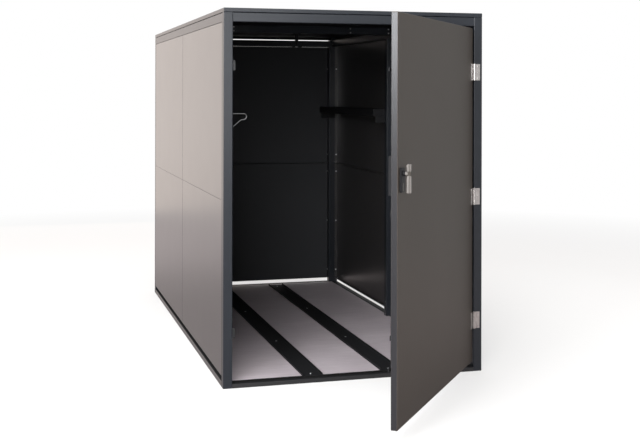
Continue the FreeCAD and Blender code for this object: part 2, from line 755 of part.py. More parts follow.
def ceiling_hook():
    """A double hook under the cross beam: a plate, a boss, a stem and two upturned arms."""
    bend = "(ceiling_low + ceiling_rod + ceiling_round)"
    middle = "ceiling_middle"
    plate = box("ceiling_plate_solid", around(middle, "ceiling_plate"), around("0", "ceiling_plate_deep"),
                (BEAM_LOW + " - ceiling_plate_thick", BEAM_LOW))
    boss = rod("ceiling_boss_solid", "ceiling_boss", BEAM_LOW + " - ceiling_boss_low",
               (middle, "0", "ceiling_boss_low"), "+z")
    stem = rod("ceiling_stem_solid", "ceiling_stem", "ceiling_boss_low + 1 - " + bend,
               (middle, "0", bend), "+z")
    pieces = [plate, boss, stem]
    for side in SIDES:
        sign = "+" if side == "right" else "-"
        tip_x = "ceiling_middle %s 2 * ceiling_round" % sign
        arc = doc.addObject("Part::Torus", "ceiling_bend_" + side)
        arc.setExpression("Radius1", bound("ceiling_round"))
        arc.setExpression("Radius2", bound("ceiling_rod"))
        arc.Angle3 = 180
        arc.Placement = Placement(Vector(), POINTING["+y"])
        arc.setExpression("Placement.Base.x", bound("ceiling_middle %s ceiling_round" % sign))
        arc.setExpression("Placement.Base.z", bound(bend))
        arm = rod("ceiling_arm_" + side, "ceiling_rod", "ceiling_arm", (tip_x, "0", bend), "+z")
        tip = doc.addObject("Part::Sphere", "ceiling_tip_" + side)
        tip.setExpression("Radius", bound("ceiling_rod"))
        tip.setExpression("Placement.Base.x", bound(tip_x))
        tip.setExpression("Placement.Base.z", bound(bend + " + ceiling_arm"))
        pieces += [arc, arm, tip]
    keep(join("ceiling_hook_solid", pieces), "ceiling_hook")


def keepers():
    """Two tabs on the left post, behind which the fingers of the lock rods slide."""
    for name, low in (("upper", "keeper_high"), ("lower", "keeper_low")):
        back = FRONT + " + keeper_back"
        tab = box("keeper_" + name, ("-" + POST_IN, "-%s + keeper_out" % POST_IN),
                  (back, back + " + keeper_thick"), (low, low + " + keeper_tall"))
        keep(tab, name + "_keeper")


def hinge_leaf(name, side, hinge, turns, bore):
    """A hinge leaf: a flat plate with knuckles, gaps for the other leaf's and three screw holes."""
    x = HINGE_X if side == "post" else "0"
    y = HINGE_Y if side == "post" else "0"
    low = "%s - leaf_tall / 2" % hinge
    across = (x, x + " + leaf_wide")
    clear = (x + " - knuckle - 1", x + " + knuckle + knuckle_room")
    if side == "door":
        across = (x + " - leaf_wide", x)
        clear = (x + " - knuckle - knuckle_room", x + " + knuckle + 1")
    flat = box(name + "_flat", across, (y + " + knuckle - leaf_thick", y + " + knuckle"),
               (low, "%s + leaf_tall / 2" % hinge))
    gaps = []
    rounds = []
    for turn in range(5):
        start = "%s + %d * leaf_tall / 5" % (low, turn)
        if turn in turns:
            rounds.append(rod("%s_knuckle_%d" % (name, turn), "knuckle", "leaf_tall / 5 - 2 * knuckle_gap",
                              (x, y, start + " + knuckle_gap"), "+z"))
        else:
            gaps.append(box("%s_notch_%d" % (name, turn), clear, (y + " - 1", y + " + knuckle + 1"),
                            grown((start, start + " + leaf_tall / 5"), "knuckle_gap")))
    hole = rod(name + "_bore", bore, "leaf_tall + 4", (x, y, low + " - 2"), "+z")
    holes = holes_at(name + "_hole", hinge_screw_seats(side, hinge), "-y", "leaf_thick + 1")
    notched = cut(name + "_notched", flat, gaps)
    return cut(name, join(name + "_blank", [notched] + rounds), [hole] + holes)


def hinges():
    """Three butt hinges: leaves on the post and on the door, pins and screws."""
    post_leaves = []
    door_leaves = []
    pins = []
    post_screws = []
    door_screws = []
    for hinge in HINGES:
        post_leaves.append(hinge_leaf("post_leaf_" + hinge, "post", hinge, (0, 2, 4), "pin"))
        door_leaves.append(hinge_leaf("door_leaf_" + hinge, "door", hinge, (1, 3), "pin + pin_fit"))
        low = "%s - leaf_tall / 2" % hinge
        shaft = rod("pin_shaft_" + hinge, "pin", "leaf_tall + 1", (HINGE_X, HINGE_Y, low + " - 1"), "+z")
        head = rod("pin_head_" + hinge, "pin + pin_head", "pin_head",
                   (HINGE_X, HINGE_Y, "%s + leaf_tall / 2" % hinge), "+z")
        pins.append(join("pin_solid_" + hinge, [shaft, head]))
        post_screws += screws_at("post_screw_" + hinge, hinge_screw_seats("post", hinge), "-y",
                                 "leaf_thick + post_wall + 4")
        door_screws += screws_at("door_screw_" + hinge, hinge_screw_seats("door", hinge), "-y",
                                 "leaf_thick + gauge + 4")
    keep(group("post_leaf_set", post_leaves), "frame_hinge_leaves")
    keep(hang(group("door_leaf_set", door_leaves)), "door_hinge_leaves")
    keep(group("pin_set", pins), "hinge_pins")
    keep(group("post_screw_set", post_screws), "frame_hinge_screws")
    keep(hang(group("door_screw_set", door_screws)), "door_hinge_screws")


def lock_profile(name, low, high, room):
    """The lock cylinder's outline as a solid between two depths, with room all round."""
    top = rod(name + "_round", "profile_round + " + room, "(%s) - (%s)" % (high, low),
              (HUB, low, "lock_height"), "+y")
    stem = box(name + "_stem", grown((HUB, HUB), "profile_stem + " + room), (low, high),
               ("lock_height - profile_drop - " + room, "lock_height"))
    return join(name, [top, stem])


def door():
    """The door leaf: an outer tray, an inner sheet and three channels between them."""
    across = (DOOR_LEFT, DOOR_RIGHT)
    up = ("door_low", "door_high")
    sheet_in = DOOR_IN + " - gauge"
    shell = tray("door_shell", across, ("knuckle", sheet_in), up, "+y")
    tools = [rod("shell_hub_hole", "neck", "gauge + 2", (HUB, "knuckle - 1", "hub_height"), "+y"),
             lock_profile("shell_lock_hole", "knuckle - 1", "knuckle + gauge + 1", "1")]
    for hinge in HINGES:
        seats = hinge_screw_seats("door", hinge)
        tools += holes_at("door_hole_" + hinge, seats, "-y", "leaf_thick + gauge + 1")
    keep(hang(cut("door_outer_solid", shell, tools)), "door_outer_skin")
    flat = box("inner_flat", across, (sheet_in, DOOR_IN), up)
    tools = [rod("inner_hub_hole", "neck", "gauge + 2", (HUB, sheet_in + " - 1", "hub_height"), "+y"),
             lock_profile("inner_lock_hole", sheet_in + " - 1", DOOR_IN + " + 1", "1")]
    keep(hang(cut("door_inner_solid", flat, tools)), "door_inner_skin")
    ribs = [tray("door_rib_%d" % k, around("%.2f * %s" % (share, DOOR_LEFT), "rib_wide"),
                 ("knuckle + gauge", sheet_in), grown(up, "-rib_inset"), "+y")
            for k, share in enumerate(RIBS)]
    keep(hang(group("door_ribs", ribs)), "door_stiffeners")


def lock():
    """The lock on the door: shield, cylinder with its plug, and the case on the inner face."""
    flat = box("shield_flat", around(HUB, "shield_wide"), (SHIELD_OUT, "knuckle"),
               ("shield_low", "shield_high"))
    collar = rod("shield_collar", "collar", "collar_long + 1",
                 (HUB, SHIELD_OUT + " - collar_long", "hub_height"), "+y")
    bore = rod("shield_bore", "spindle + turn_fit", "collar_long + shield_thick + 2",
               (HUB, SHIELD_OUT + " - collar_long - 1", "hub_height"), "+y")
    profile = lock_profile("shield_lock_hole", SHIELD_OUT + " - 1", "knuckle + 1", "hole_room")
    keep(hang(cut("shield_solid", join("shield_blank", [flat, collar]), [bore, profile])), "lock_escutcheon")
    barrel = lock_profile("cylinder_blank", SHIELD_OUT + " - barrel_out", DOOR_IN + " + barrel_in", "0")
    bore = rod("cylinder_bore", "plug + turn_fit", "barrel_out + shield_thick + door_thick + barrel_in + 2",
               (HUB, SHIELD_OUT + " - barrel_out - 1", "lock_height"), "+y")
    keep(hang(cut("cylinder_solid", barrel, [bore])), "lock_cylinder")
    core = rod("plug_round", "plug", "plug_long", (HUB, SHIELD_OUT + " - plug_out", "lock_height"), "+y")
    reach = (SHIELD_OUT + " - plug_out - 1", SHIELD_OUT + " + keyway_deep")
    slit = box("plug_keyway", around(HUB, "keyway"), reach, around("lock_height", "keyway_tall"))
    keep(hang(cut("plug_solid", core, [slit])), "cylinder_core")
    case = tray("case_tray", around(HUB, "case_wide"), (DOOR_IN, DOOR_IN + " + case_deep"),
                ("case_low", "case_high"), "-y")
    depth = grown(("rod_plane", "rod_plane + rod_thick"), "guide_room")
    ends = {"upper": (UPPER_ROD, ("case_high - gauge - 1", "case_high + 1")),
            "lower": (LOWER_ROD, ("case_low - 1", "case_low + gauge + 1"))}
    slots = [box("case_slot_" + name, around(middle, "rod_wide + 2 * guide_room"), depth, z)
             for name, (middle, z) in ends.items()]
    keep(hang(cut("case_solid", case, slots)), "lock_case")


def round_pad(body, name, radius, start, length):
    """A round bar on the handle's axis, from a depth outwards."""
    circle = sketch_on(body, "XZ_Plane", name + "_circle")
    circle_on(circle, radius, Vector())
    circle.setExpression("AttachmentOffset.Base.z", bound(start))
    pad = body.newObject("PartDesign::Pad", name + "_pad")
    pad.Profile = circle
    pad.setExpression("Length", bound(length))
    body.Tip = pad
    doc.recompute()
    return pad


def handle():
    """The turning handle: a waisted grip, a round neck and the spindle that carries the cam."""
    body = doc.addObject("PartDesign::Body", "handle_body")
    outline = sketch_on(body, "XZ_Plane", "grip_outline")
    half = ("grip_wide / 2", SIZES["grip_wide"] / 2)
    waist = ("grip_waist / 2", SIZES["grip_waist"] / 2)
    down, flare, neck, up = [(name, SIZES[name]) for name in ("grip_down", "grip_flare", "neck", "grip_up")]
    corners = [(-1, half, -1, down), (1, half, -1, down), (1, half, -1, flare), (1, waist, -1, neck),
               (1, waist, 1, neck), (1, half, 1, flare), (1, half, 1, up), (-1, half, 1, up),
               (-1, half, 1, flare), (-1, waist, 1, neck), (-1, waist, -1, neck), (-1, half, -1, flare)]
    points = [Vector(side * x[1], way * y[1], 0) for side, x, way, y in corners]
    count = len(points)
    for k in range(count):
        outline.addGeometry(Part.LineSegment(points[k], points[(k + 1) % count]), False)
    for k in range(count):
        outline.addConstraint(Sketcher.Constraint("Coincident", k, 2, (k + 1) % count, 1))
    for k, (side, x, way, y) in enumerate(corners):
        fix(outline, "DistanceX", k, 1, "%d * %s" % (side, x[0]))
        fix(outline, "DistanceY", k, 1, "%d * %s" % (way, y[0]))
    outline.setExpression("AttachmentOffset.Base.z", bound("grip_off - knuckle"))
    doc.recompute()
    grip = body.newObject("PartDesign::Pad", "grip_pad")
    grip.Profile = outline
    grip.setExpression("Length", bound("grip_thick"))
    body.Tip = grip
    doc.recompute()
    # The neck starts in front of the shield's collar and ends inside the grip
    neck_start = "collar_long + neck_gap"
    round_pad(body, "neck", "neck", neck_start, "grip_off - knuckle - (%s) + neck_root" % neck_start)
    # The spindle starts behind the cam and ends inside the neck
    spindle_start = "(%s + cam_thick + cam_room)" % DOOR_IN
    last = round_pad(body, "spindle", "spindle", "-" + spindle_start,
                     spindle_start + " + collar_long + neck_root")
    rounded = body.newObject("PartDesign::Fillet", "grip_rounding")
    rounded.Base = (last, grip_edges(last))
    rounded.setExpression("Radius", bound("grip_round"))
    body.Tip = rounded
    body.Placement = Placement(Vector(), UPRIGHT_TURN)
    body.setExpression("Placement.Base.x", bound("%s + cos(open_angle * 1 deg) * %s" % (HINGE_X, HUB)))
    body.setExpression("Placement.Base.y", bound("%s + sin(open_angle * 1 deg) * %s" % (HINGE_Y, HUB)))
    body.setExpression("Placement.Base.z", bound("hub_height"))
    body.setExpression("Placement.Rotation.Angle", bound("open_angle * 1 deg"))
    keep(body, "turn_handle")


def grip_edges(feature):
    """Names of the edges round the grip's two end faces."""
    low = -SIZES["grip_down"] + 1
    high = SIZES["grip_up"] - 1
    names = []
    for k, edge in enumerate(feature.Shape.Edges, start=1):
        extent = edge.BoundBox
        if extent.ZMax < low or extent.ZMin > high:
            names.append("Edge%d" % k)
    return names


def cam():
    """The cam on the spindle: a disc with two crank pins that reach through the rods' slots."""
    low = DOOR_IN + " + cam_room"
    disc = rod("cam_disc", "cam_round", "cam_thick", (HUB, low, "hub_height"), "+y")
    bore = rod("cam_bore", "spindle + hole_room", "cam_thick + 2", (HUB, low + " - 1", "hub_height"), "+y")
    pins = [rod("crank_" + name, "crank_pin", "cam_thick / 2 + rod_thick + cam_room",
                (HUB + x, low + " + cam_thick / 2", "hub_height" + z), "+y")
            for name, x, z in (("upper", " + crank", " - crank"), ("lower", " - crank", " + crank"))]
    keep(hang(cut("cam_solid", join("cam_blank", [disc] + pins), [bore])), "lock_cam")


def lock_rods():
    """Two flat rods with slots for the crank pins and a finger at the far end of each."""
    depth = ("rod_plane", "rod_plane + rod_thick")
    through = grown(depth, "1")
    pin = "hub_height - crank"
    end = "keeper_high - keeper_room"
    flat = box("upper_rod_flat", around(UPPER_ROD, "rod_wide"), depth, (pin + " - rod_end", end))
    finger = box("upper_rod_finger", ("-finger_end", UPPER_ROD), depth, (end + " - finger_tall", end))
    slot = box("upper_rod_slot", (HUB + " + slot_near", HUB + " + slot_far"), through,
               grown((pin, pin), "slot_half"))
    keep(hang(cut("upper_rod_solid", join("upper_rod_blank", [flat, finger]), [slot])), "upper_lock_rod")
    # The lower rod steps sideways under the hub, so that it runs further from the door's edge
    pin = "hub_height + crank"
    end = "keeper_low + keeper_tall + keeper_room"
    step = ("hub_height - jog_low", "hub_height - jog_low + jog_tall")
    foot = box("lower_rod_foot", around(LOWER_FOOT, "rod_wide"), depth, (step[0], pin + " + rod_end"))
    jog = box("lower_rod_jog", (LOWER_FOOT + " - rod_wide / 2", LOWER_ROD + " + rod_wide / 2"), depth, step)
    flat = box("lower_rod_flat", around(LOWER_ROD, "rod_wide"), depth, (end, step[1]))
    finger = box("lower_rod_finger", ("-finger_end", LOWER_ROD), depth, (end, end + " + finger_tall"))
    slot = box("lower_rod_slot", (HUB + " - slot_far", HUB + " - slot_near"), through,
               grown((pin, pin), "slot_half"))
    keep(hang(cut("lower_rod_solid", join("lower_rod_blank", [foot, jog, flat, finger]), [slot])),
         "lower_lock_rod")


def rod_guides():
    """Two guides for each lock rod on the door's inner face."""
    guides = []
    for name, middle in (("upper", UPPER_ROD), ("lower", LOWER_ROD)):
        for height in GUIDES[name]:
            label = "guide_%s_%d" % (name, height)
            tall = (str(height), "%d + guide_tall" % height)
            block = box(label + "_block", around(middle, "rod_wide + 2 * guide_side"),
                        (DOOR_IN, "rod_plane + rod_thick + guide_back"), tall)
            way = box(label + "_way", around(middle, "rod_wide + 2 * guide_room"),
                      grown(("rod_plane", "rod_plane + rod_thick"), "guide_room"), grown(tall, "1"))
            guides.append(cut(label, block, [way]))
    keep(hang(group("guide_set", guides)), "rod_guides")


posts()
rails_and_beams()
sills()
floor()
wheel_rails()
panels()
frame_screws()
roof()
shelf()
wire_hook()
ceiling_hook()
keepers()
hinges()
door()
lock()
handle()
cam()
lock_rods()
rod_guides()
doc.recompute()

for item in doc.Objects:
    if "Invalid" in item.State or "Error" in item.State:
        raise RuntimeError("%s (%s) did not recompute: %s" % (item.Name, item.Label, item.State))
for piece in subparts:
    if piece.Shape.isNull() or not piece.Shape.isValid() or not piece.Shape.Solids:
        raise RuntimeError("%s has no valid solid" % piece.Label)
for piece in subparts:
    piece.Shape.exportStep("parts/%s.step" % piece.Label)
    print("%-34s %3d solids %12.0f mm3" % (piece.Label, len(piece.Shape.Solids), piece.Shape.Volume))
print(len(subparts), "sub-parts")
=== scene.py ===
import json
import math

import bmesh
import bpy
from mathutils import Matrix, Vector


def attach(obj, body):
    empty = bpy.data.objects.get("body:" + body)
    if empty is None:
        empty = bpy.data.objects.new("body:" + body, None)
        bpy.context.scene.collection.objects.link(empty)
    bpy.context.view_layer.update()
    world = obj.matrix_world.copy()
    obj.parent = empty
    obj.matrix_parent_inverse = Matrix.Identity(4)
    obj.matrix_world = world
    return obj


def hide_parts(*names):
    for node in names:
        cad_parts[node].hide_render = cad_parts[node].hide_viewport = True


# A bicycle locker with its door standing open, on a white studio floor.
# Metres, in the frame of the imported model: X to the right, Y into the locker, Z up.

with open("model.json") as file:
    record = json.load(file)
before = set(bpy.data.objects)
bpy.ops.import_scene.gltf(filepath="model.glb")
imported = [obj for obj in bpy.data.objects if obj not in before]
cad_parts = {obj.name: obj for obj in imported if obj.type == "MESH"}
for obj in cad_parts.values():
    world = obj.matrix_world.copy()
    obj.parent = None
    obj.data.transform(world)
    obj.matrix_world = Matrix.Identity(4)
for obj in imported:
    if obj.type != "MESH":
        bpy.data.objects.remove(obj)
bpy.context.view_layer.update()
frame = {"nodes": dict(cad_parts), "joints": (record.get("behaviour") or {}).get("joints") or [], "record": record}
scene = bpy.context.scene
MM = 0.001
X, Y, Z = range(3)

# The door's own frame: origin on the hinge axis, X along the closed door, Y into the locker
JOINTS = {joint["name"]: joint for joint in frame["joints"]}
SWING = JOINTS["door_swing"]
OPEN = math.radians(-SWING["range_deg"][0])
DOOR_SPACE = Matrix.Translation((SWING["pos_m"][X], SWING["pos_m"][Y], 0)) @ Matrix.Rotation(OPEN, 4, "Z")
TO_DOOR = DOOR_SPACE.inverted()
HUB = TO_DOOR @ Vector(JOINTS["handle_turn"]["pos_m"])
BODY_OF = {node: body for body, nodes in frame["record"]["behaviour"]["bodies"].items() for node in nodes}
SLOT_OF = {part["node"]: part["material_slot"] for part in frame["record"]["subparts"]}

# Sheet thickness, and the radii of drawn tubes, folds and broken edges
GAUGE = 1.5 * MM
TUBE_ROUND = 3.5 * MM
FOLD_ROUND = 2.5 * MM
WIDE_FOLD_ROUND = 3 * MM
SILL_ROUND = 1.5 * MM
RAIL_ROUND = 1.2 * MM
BOARD_ROUND = 0.8 * MM
DOOR_SHEET_ROUND = 2 * MM
EDGE = 0.5 * MM
SHEET_EDGE = 0.4 * MM
TURNED_EDGE = 0.25 * MM
ROOF_LIP = 12 * MM
# How far back from its front edge the front board is painted black: its dark core on the edge face, and painted
# shade on a strip of its top
SHADE_STRIP = 19 * MM
# Points this close to a plane lie on it, and points this close to each other are one
ON_PLANE = 0.1 * MM
SAME = 1e-6
# A normal or an edge that has this share of its length along an axis faces or follows it
FACING = 0.9
FACING_EDGE = 0.99
FOLLOWING = 0.999
# Degrees from which an edge gets a round: on small pieces, on blocks and on thickened sheets
SHARP = 40
SQUARE = 60
SHEET_CORNER = 50
# Degrees up to which faces that meet are one flat face
FLAT = 0.5
# Degrees up to which the shading runs smoothly over an edge
SMOOTH = 35
SMOOTH_ROUND = 40
SMOOTH_SCREW = 50
ARC_STEPS = 12

# A screw's profile, from the middle of its socket: share of the head's radius, and millimetres below its top
HEAD_PROFILE = ((0, 1.1), (0.42, 1.1), (0.42, 0), (0.72, 0.1), (0.94, 0.7), (1, 1.3))
HEAD_TALL = 1.8 * MM
SHANK = 0.5
# Each screw end's points lie within this distance of it
SCREW_END = 0.3 * MM

GRIP_THICK = 19 * MM
GRIP_ROUND = 6.5 * MM
GRIP_END_ROUND = 5 * MM
# The grip's waist: how far from the hub, and the shares of its width and thickness that are left there
WAIST = ((9 * MM, 0.72, 0.86), (17 * MM, 0.90, 0.96), (26 * MM, 1, 1))
DARK_WAIST = 9 * MM
GRIP_ENDS = 50 * MM
# The groove along the grip: how far behind its face, how deep, and half its width below and at its mouth
GROOVE_AT = 6.5 * MM
GROOVE_DEEP = 2.5 * MM
GROOVE_FLOOR = 1.1 * MM
GROOVE_MOUTH = 1.9 * MM
NECK = 8 * MM
NECK_ROOT = 5 * MM
NECK_END = -9.5 * MM
SPINDLE = 5 * MM

SHIELD_THICK = 8 * MM
SHIELD_CORNER = 6 * MM
SHIELD_RIM = 2 * MM
COLLAR = 11 * MM
COLLAR_RIM = 1.2 * MM

WIRE = 2.8 * MM
HOOK_ROUND = 14 * MM
HOOK_KNEE = 2 * MM
HOOK_PLANE = 9 * MM
HOOK_MARGIN = 8 * MM
HOOK_BLOCK = 20 * MM
HOOK_BLOCK_DEEP = 14 * MM
HOOK_BLOCK_EDGE = 1.5 * MM

CEILING_ROD = 3 * MM
CEILING_ROUND = 19 * MM
CEILING_TIP = 5 * MM
CEILING_STEM = 4 * MM
CEILING_STEM_LONG = 20 * MM
CEILING_BOSS = 10 * MM
CEILING_BOSS_LOW = 12 * MM
CEILING_BOSS_RIM = 3 * MM
CEILING_PLATE = 4 * MM
CEILING_PLATE_HALF = (22 * MM, 15 * MM)
CEILING_PLATE_CORNER = 4 * MM
CEILING_PLATE_EDGE = 0.8 * MM

PIECES = []


# Shapes


def space_of(node):
    """The frame that a node is square to: the cabinet's, or the door's."""
    return Matrix.Identity(4) if BODY_OF[node] == "cabinet" else DOOR_SPACE


def corners(points):
    """The lowest and highest corner of some points."""
    low = Vector(min(p[k] for p in points) for k in range(3))
    high = Vector(max(p[k] for p in points) for k in range(3))
    return low, high


def span(node):
    """The lowest and highest corner of a node in the frame that it is square to."""
    back = space_of(node).inverted()
    return corners([back @ v.co for v in frame["nodes"][node].data.vertices])


def connected(seeds):
    """Some points, and all that they reach along edges."""
    reached = set(seeds)
    stack = list(reached)
    while stack:
        vert = stack.pop()
        for edge in vert.link_edges:
            other = edge.other_vert(vert)
            if other not in reached:
                reached.add(other)
                stack.append(other)
    return reached


def islands(node):
    """The corners and points of each separate solid of a node, in the frame it is square to."""
    bm = bmesh.new()
    bm.from_mesh(frame["nodes"][node].data)
    bmesh.ops.remove_doubles(bm, verts=bm.verts, dist=SAME)
    bm.transform(space_of(node).inverted())
    seen = set()
    found = []
    for start in bm.verts:
        if start not in seen:
            solid = connected([start])
            seen |= solid
            points = [vert.co.copy() for vert in solid]
            found.append((*corners(points), points))
    bm.free()
    return found


def link(obj):
    """Put a new object in the scene."""
    scene.collection.objects.link(obj)
    return obj


def finish_piece(name, bm, material, node, smooth=SMOOTH, space=None):
    """Turn a bmesh into a piece that rides with the node it stands for."""
    bm.transform(space_of(node) if space is None else space)
    mesh = bpy.data.meshes.new(name)
    bm.to_mesh(mesh)
    bm.free()
    mesh.shade_smooth()
    mesh.set_sharp_from_angle(angle=math.radians(smooth))
    mesh.materials.append(material)
    piece = link(bpy.data.objects.new(name, mesh))
    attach(piece, BODY_OF[node])
    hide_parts(node)
    PIECES.append(piece)
    return piece


def paint_some(piece, material, chosen):
    """Give a second material to the faces that a test picks."""
    piece.data.materials.append(material)
    for face in piece.data.polygons:
        face.material_index = 1 if chosen(face) else 0


def block(bm, low, high):
    """A block between two corners, as its points."""
    low, high = Vector(low), Vector(high)
    verts = bmesh.ops.create_cube(bm, size=1.0)["verts"]
    bmesh.ops.scale(bm, vec=high - low, verts=verts)
    bmesh.ops.translate(bm, vec=(high + low) / 2, verts=verts)
    return verts


def faces_of(verts):
    """The faces round some points."""
    return {face for vert in verts for face in vert.link_faces}


def edges_along(verts, axis):
    """The edges among some points that run along one axis."""
    chosen = set(verts)
    found = set()
    for vert in verts:
        for edge in vert.link_edges:
            way = edge.verts[1].co - edge.verts[0].co
            if edge.other_vert(vert) in chosen and abs(way[axis]) > FOLLOWING * way.length:
                found.add(edge)
    return list(found)


def edges_where(verts, test):
    """The edges at some points whose two ends both pass a test."""
    near = {edge for vert in verts for edge in vert.link_edges}
    return [edge for edge in near if all(test(end.co) for end in edge.verts)]


def shared_edges(bm, angle=0):
    """The edges between two faces that turn by at least an angle in degrees."""
    turn = math.radians(angle)
    return [e for e in bm.edges if len(e.link_faces) == 2 and e.calc_face_angle(0) >= turn]


def round_edges(bm, edges, radius, segments=3):
    """Round some edges."""
    bmesh.ops.bevel(bm, geom=edges, offset=radius, segments=segments, profile=0.5, affect="EDGES",
                    material=-1, clamp_overlap=True)


def crisp_edges(bm, radius, angle=SHARP):
    """A small round on every edge that is sharper than an angle."""
    round_edges(bm, shared_edges(bm, angle), radius, 2)


def cut_across(bm, axis, level):
    """Split the faces that cross one level along an axis."""
    spot, way = Vector((0, 0, 0)), Vector((0, 0, 0))
    spot[axis] = level
    way[axis] = 1
    bmesh.ops.bisect_plane(bm, geom=bm.verts[:] + bm.edges[:] + bm.faces[:], plane_co=spot, plane_no=way)


def rounded_bar(node, material):
    """A square tube with drawn, rounded long edges, closed at its cut ends."""
    low, high = span(node)
    size = high - low
    axis = max(range(3), key=lambda k: size[k])
    bm = bmesh.new()
    verts = block(bm, low, high)
    round_edges(bm, edges_along(verts, axis), TUBE_ROUND, 4)
    crisp_edges(bm, EDGE, SQUARE)
    return finish_piece(node + "_bar", bm, material, node)


def thicken(piece):
    """Give a skin its sheet thickness, inwards, and break the sheet's edges."""
    solid = piece.modifiers.new("sheet", "SOLIDIFY")
    solid.thickness = GAUGE
    solid.offset = -1
    solid.use_even_offset = True
    edge = piece.modifiers.new("edge", "BEVEL")
    edge.width = SHEET_EDGE
    edge.segments = 2
    edge.limit_method = "ANGLE"
    edge.angle_limit = math.radians(SHEET_CORNER)
    edge.harden_normals = False
    return piece


def tray_piece(node, axis, sign, material, radius=FOLD_ROUND, suffix="_tray"):
    """A folded sheet tray: a block that lacks the face on one side, with rounded folds."""
    bm = bmesh.new()
    verts = block(bm, *span(node))
    mouth = [face for face in faces_of(verts) if face.normal[axis] * sign > FACING]
    bmesh.ops.delete(bm, geom=mouth, context="FACES_ONLY")
    round_edges(bm, shared_edges(bm), radius)
    return thicken(finish_piece(node + suffix, bm, material, node))


def swept_rod(bm, path, radius):
    """A round rod along a path of points."""
    curve = bpy.data.curves.new("rod_path", "CURVE")
    curve.dimensions = "3D"
    curve.bevel_depth = radius
    curve.bevel_resolution = 5
    curve.use_fill_caps = True
    line = curve.splines.new("POLY")
    line.points.add(len(path) - 1)
    for point, where in zip(line.points, path):
        point.co = (*where, 1)
    holder = link(bpy.data.objects.new("rod_path", curve))
    bpy.context.view_layer.update()
    bm.from_mesh(holder.to_mesh())
    bpy.data.objects.remove(holder)
    bmesh.ops.remove_doubles(bm, verts=bm.verts, dist=SAME)


def arc_points(middle, radius, start, end):
    """Points on an arc in the upright X Z plane, from one angle to another in degrees."""
    angles = [math.radians(start + (end - start) * k / ARC_STEPS) for k in range(ARC_STEPS + 1)]
    return [(middle[X] + radius * math.cos(a), middle[Y], middle[Z] + radius * math.sin(a)) for a in angles]


def drum(bm, radius, foot, top, axis=Z, segments=32):
    """A round bar between two points along the Y or Z axis, as its points."""
    verts = bmesh.ops.create_cone(bm, cap_ends=True, segments=segments, radius1=radius, radius2=radius,
                                  depth=abs(top[axis] - foot[axis]))["verts"]
    if axis == Y:
        upright_to_y = Matrix.Rotation(math.radians(90), 3, "X")
        bmesh.ops.rotate(bm, cent=(0, 0, 0), matrix=upright_to_y, verts=verts)
    bmesh.ops.translate(bm, vec=(Vector(foot) + Vector(top)) / 2, verts=verts)
    return verts


def softened(node, material, radius=EDGE):
    """A copy of a small piece whose sharp edges are broken."""
    bm = bmesh.new()
    bm.from_mesh(frame["nodes"][node].data)
    bmesh.ops.remove_doubles(bm, verts=bm.verts, dist=SAME)
    bmesh.ops.dissolve_limit(bm, angle_limit=math.radians(FLAT), verts=bm.verts, edges=bm.edges)
    crisp_edges(bm, radius)
    return finish_piece(node + "_soft", bm, material, node, space=Matrix.Identity(4))


def settle_normals():
    """Keep flat faces flat in the light, right up to their rounded edges."""
    for piece in PIECES:
        weighted = piece.modifiers.new("normals", "WEIGHTED_NORMAL")
        weighted.keep_sharp = True


# Shader nodes

# Where most of a noise pattern's values lie
PATTERN_MIDDLE = (0.3, 0.7)


def add(tree, kind, **settings):
    """A node. Each setting is an output to join to an input, an input's value or a property."""
    node = tree.nodes.new(kind)
    for key, value in settings.items():
        if isinstance(value, bpy.types.NodeSocket):
            tree.links.new(value, node.inputs[key])
        elif key in node.inputs:
            node.inputs[key].default_value = value
        else:
            setattr(node, key, value)
    return node


def shader(name, color, roughness, metallic=0.0):
    """A new material with its Principled shader, and the node tree to add to."""
    material = bpy.data.materials.new(name)
    material.use_nodes = True
    tree = material.node_tree
    surface = tree.nodes["Principled BSDF"]
    surface.inputs["Base Color"].default_value = (*color, 1)
    surface.inputs["Roughness"].default_value = roughness
    surface.inputs["Metallic"].default_value = metallic
    return material, tree, surface


def join(tree, surface, color, roughness, normal=None):
    """Lead patterns into a shader's colour, roughness and, where there is one, normal."""
    tree.links.new(color, surface.inputs["Base Color"])
    tree.links.new(roughness, surface.inputs["Roughness"])
    if normal is not None:
        tree.links.new(normal, surface.inputs["Normal"])


def shaded(color, share):
    """A colour made darker or lighter."""
    return [share * part for part in color]


def place(tree, scale=(1, 1, 1)):
    """Object coordinates, stretched by a scale along each axis."""
    where = add(tree, "ShaderNodeTexCoord")
    mapping = add(tree, "ShaderNodeMapping", Vector=where.outputs["Object"], Scale=scale)
    return mapping.outputs["Vector"]


def noise(tree, vector, scale, detail=2.0):
    """A noise pattern's value."""
    return add(tree, "ShaderNodeTexNoise", Vector=vector, Scale=scale, Detail=detail).outputs["Fac"]


def ramp(tree, value, low, high, at=(0.35, 0.65)):
    """Two colours blended by a pattern's value."""
    node = add(tree, "ShaderNodeValToRGB", Fac=value)
    for stop, position, color in zip(node.color_ramp.elements, at, (low, high)):
        stop.position = position
        stop.color = (*color, 1)
    return node.outputs["Color"]


def stretch(tree, value, low, high, to_low, to_high):
    """A value mapped from one stretch to another, held at its ends."""
    node = add(tree, "ShaderNodeMapRange", Value=value)
    for key, number in (("From Min", low), ("From Max", high), ("To Min", to_low), ("To Max", to_high)):
        node.inputs[key].default_value = number
    return node.outputs["Result"]


def spread(tree, pattern, low, high):
    """The middle of a pattern's values, mapped between two numbers."""
    return stretch(tree, pattern, *PATTERN_MIDDLE, low, high)


def bump(tree, value, strength, distance):
    """A bump from a pattern's value."""
    return add(tree, "ShaderNodeBump", Height=value, Strength=strength, Distance=distance).outputs["Normal"]


def calculate(tree, operation, first, second):
    """A number worked out from an output, and from another output or a plain number."""
    node = add(tree, "ShaderNodeMath", operation=operation)
    tree.links.new(first, node.inputs[0])
    if isinstance(second, bpy.types.NodeSocket):
        tree.links.new(second, node.inputs[1])
    else:
        node.inputs[1].default_value = second
    return node.outputs["Value"]


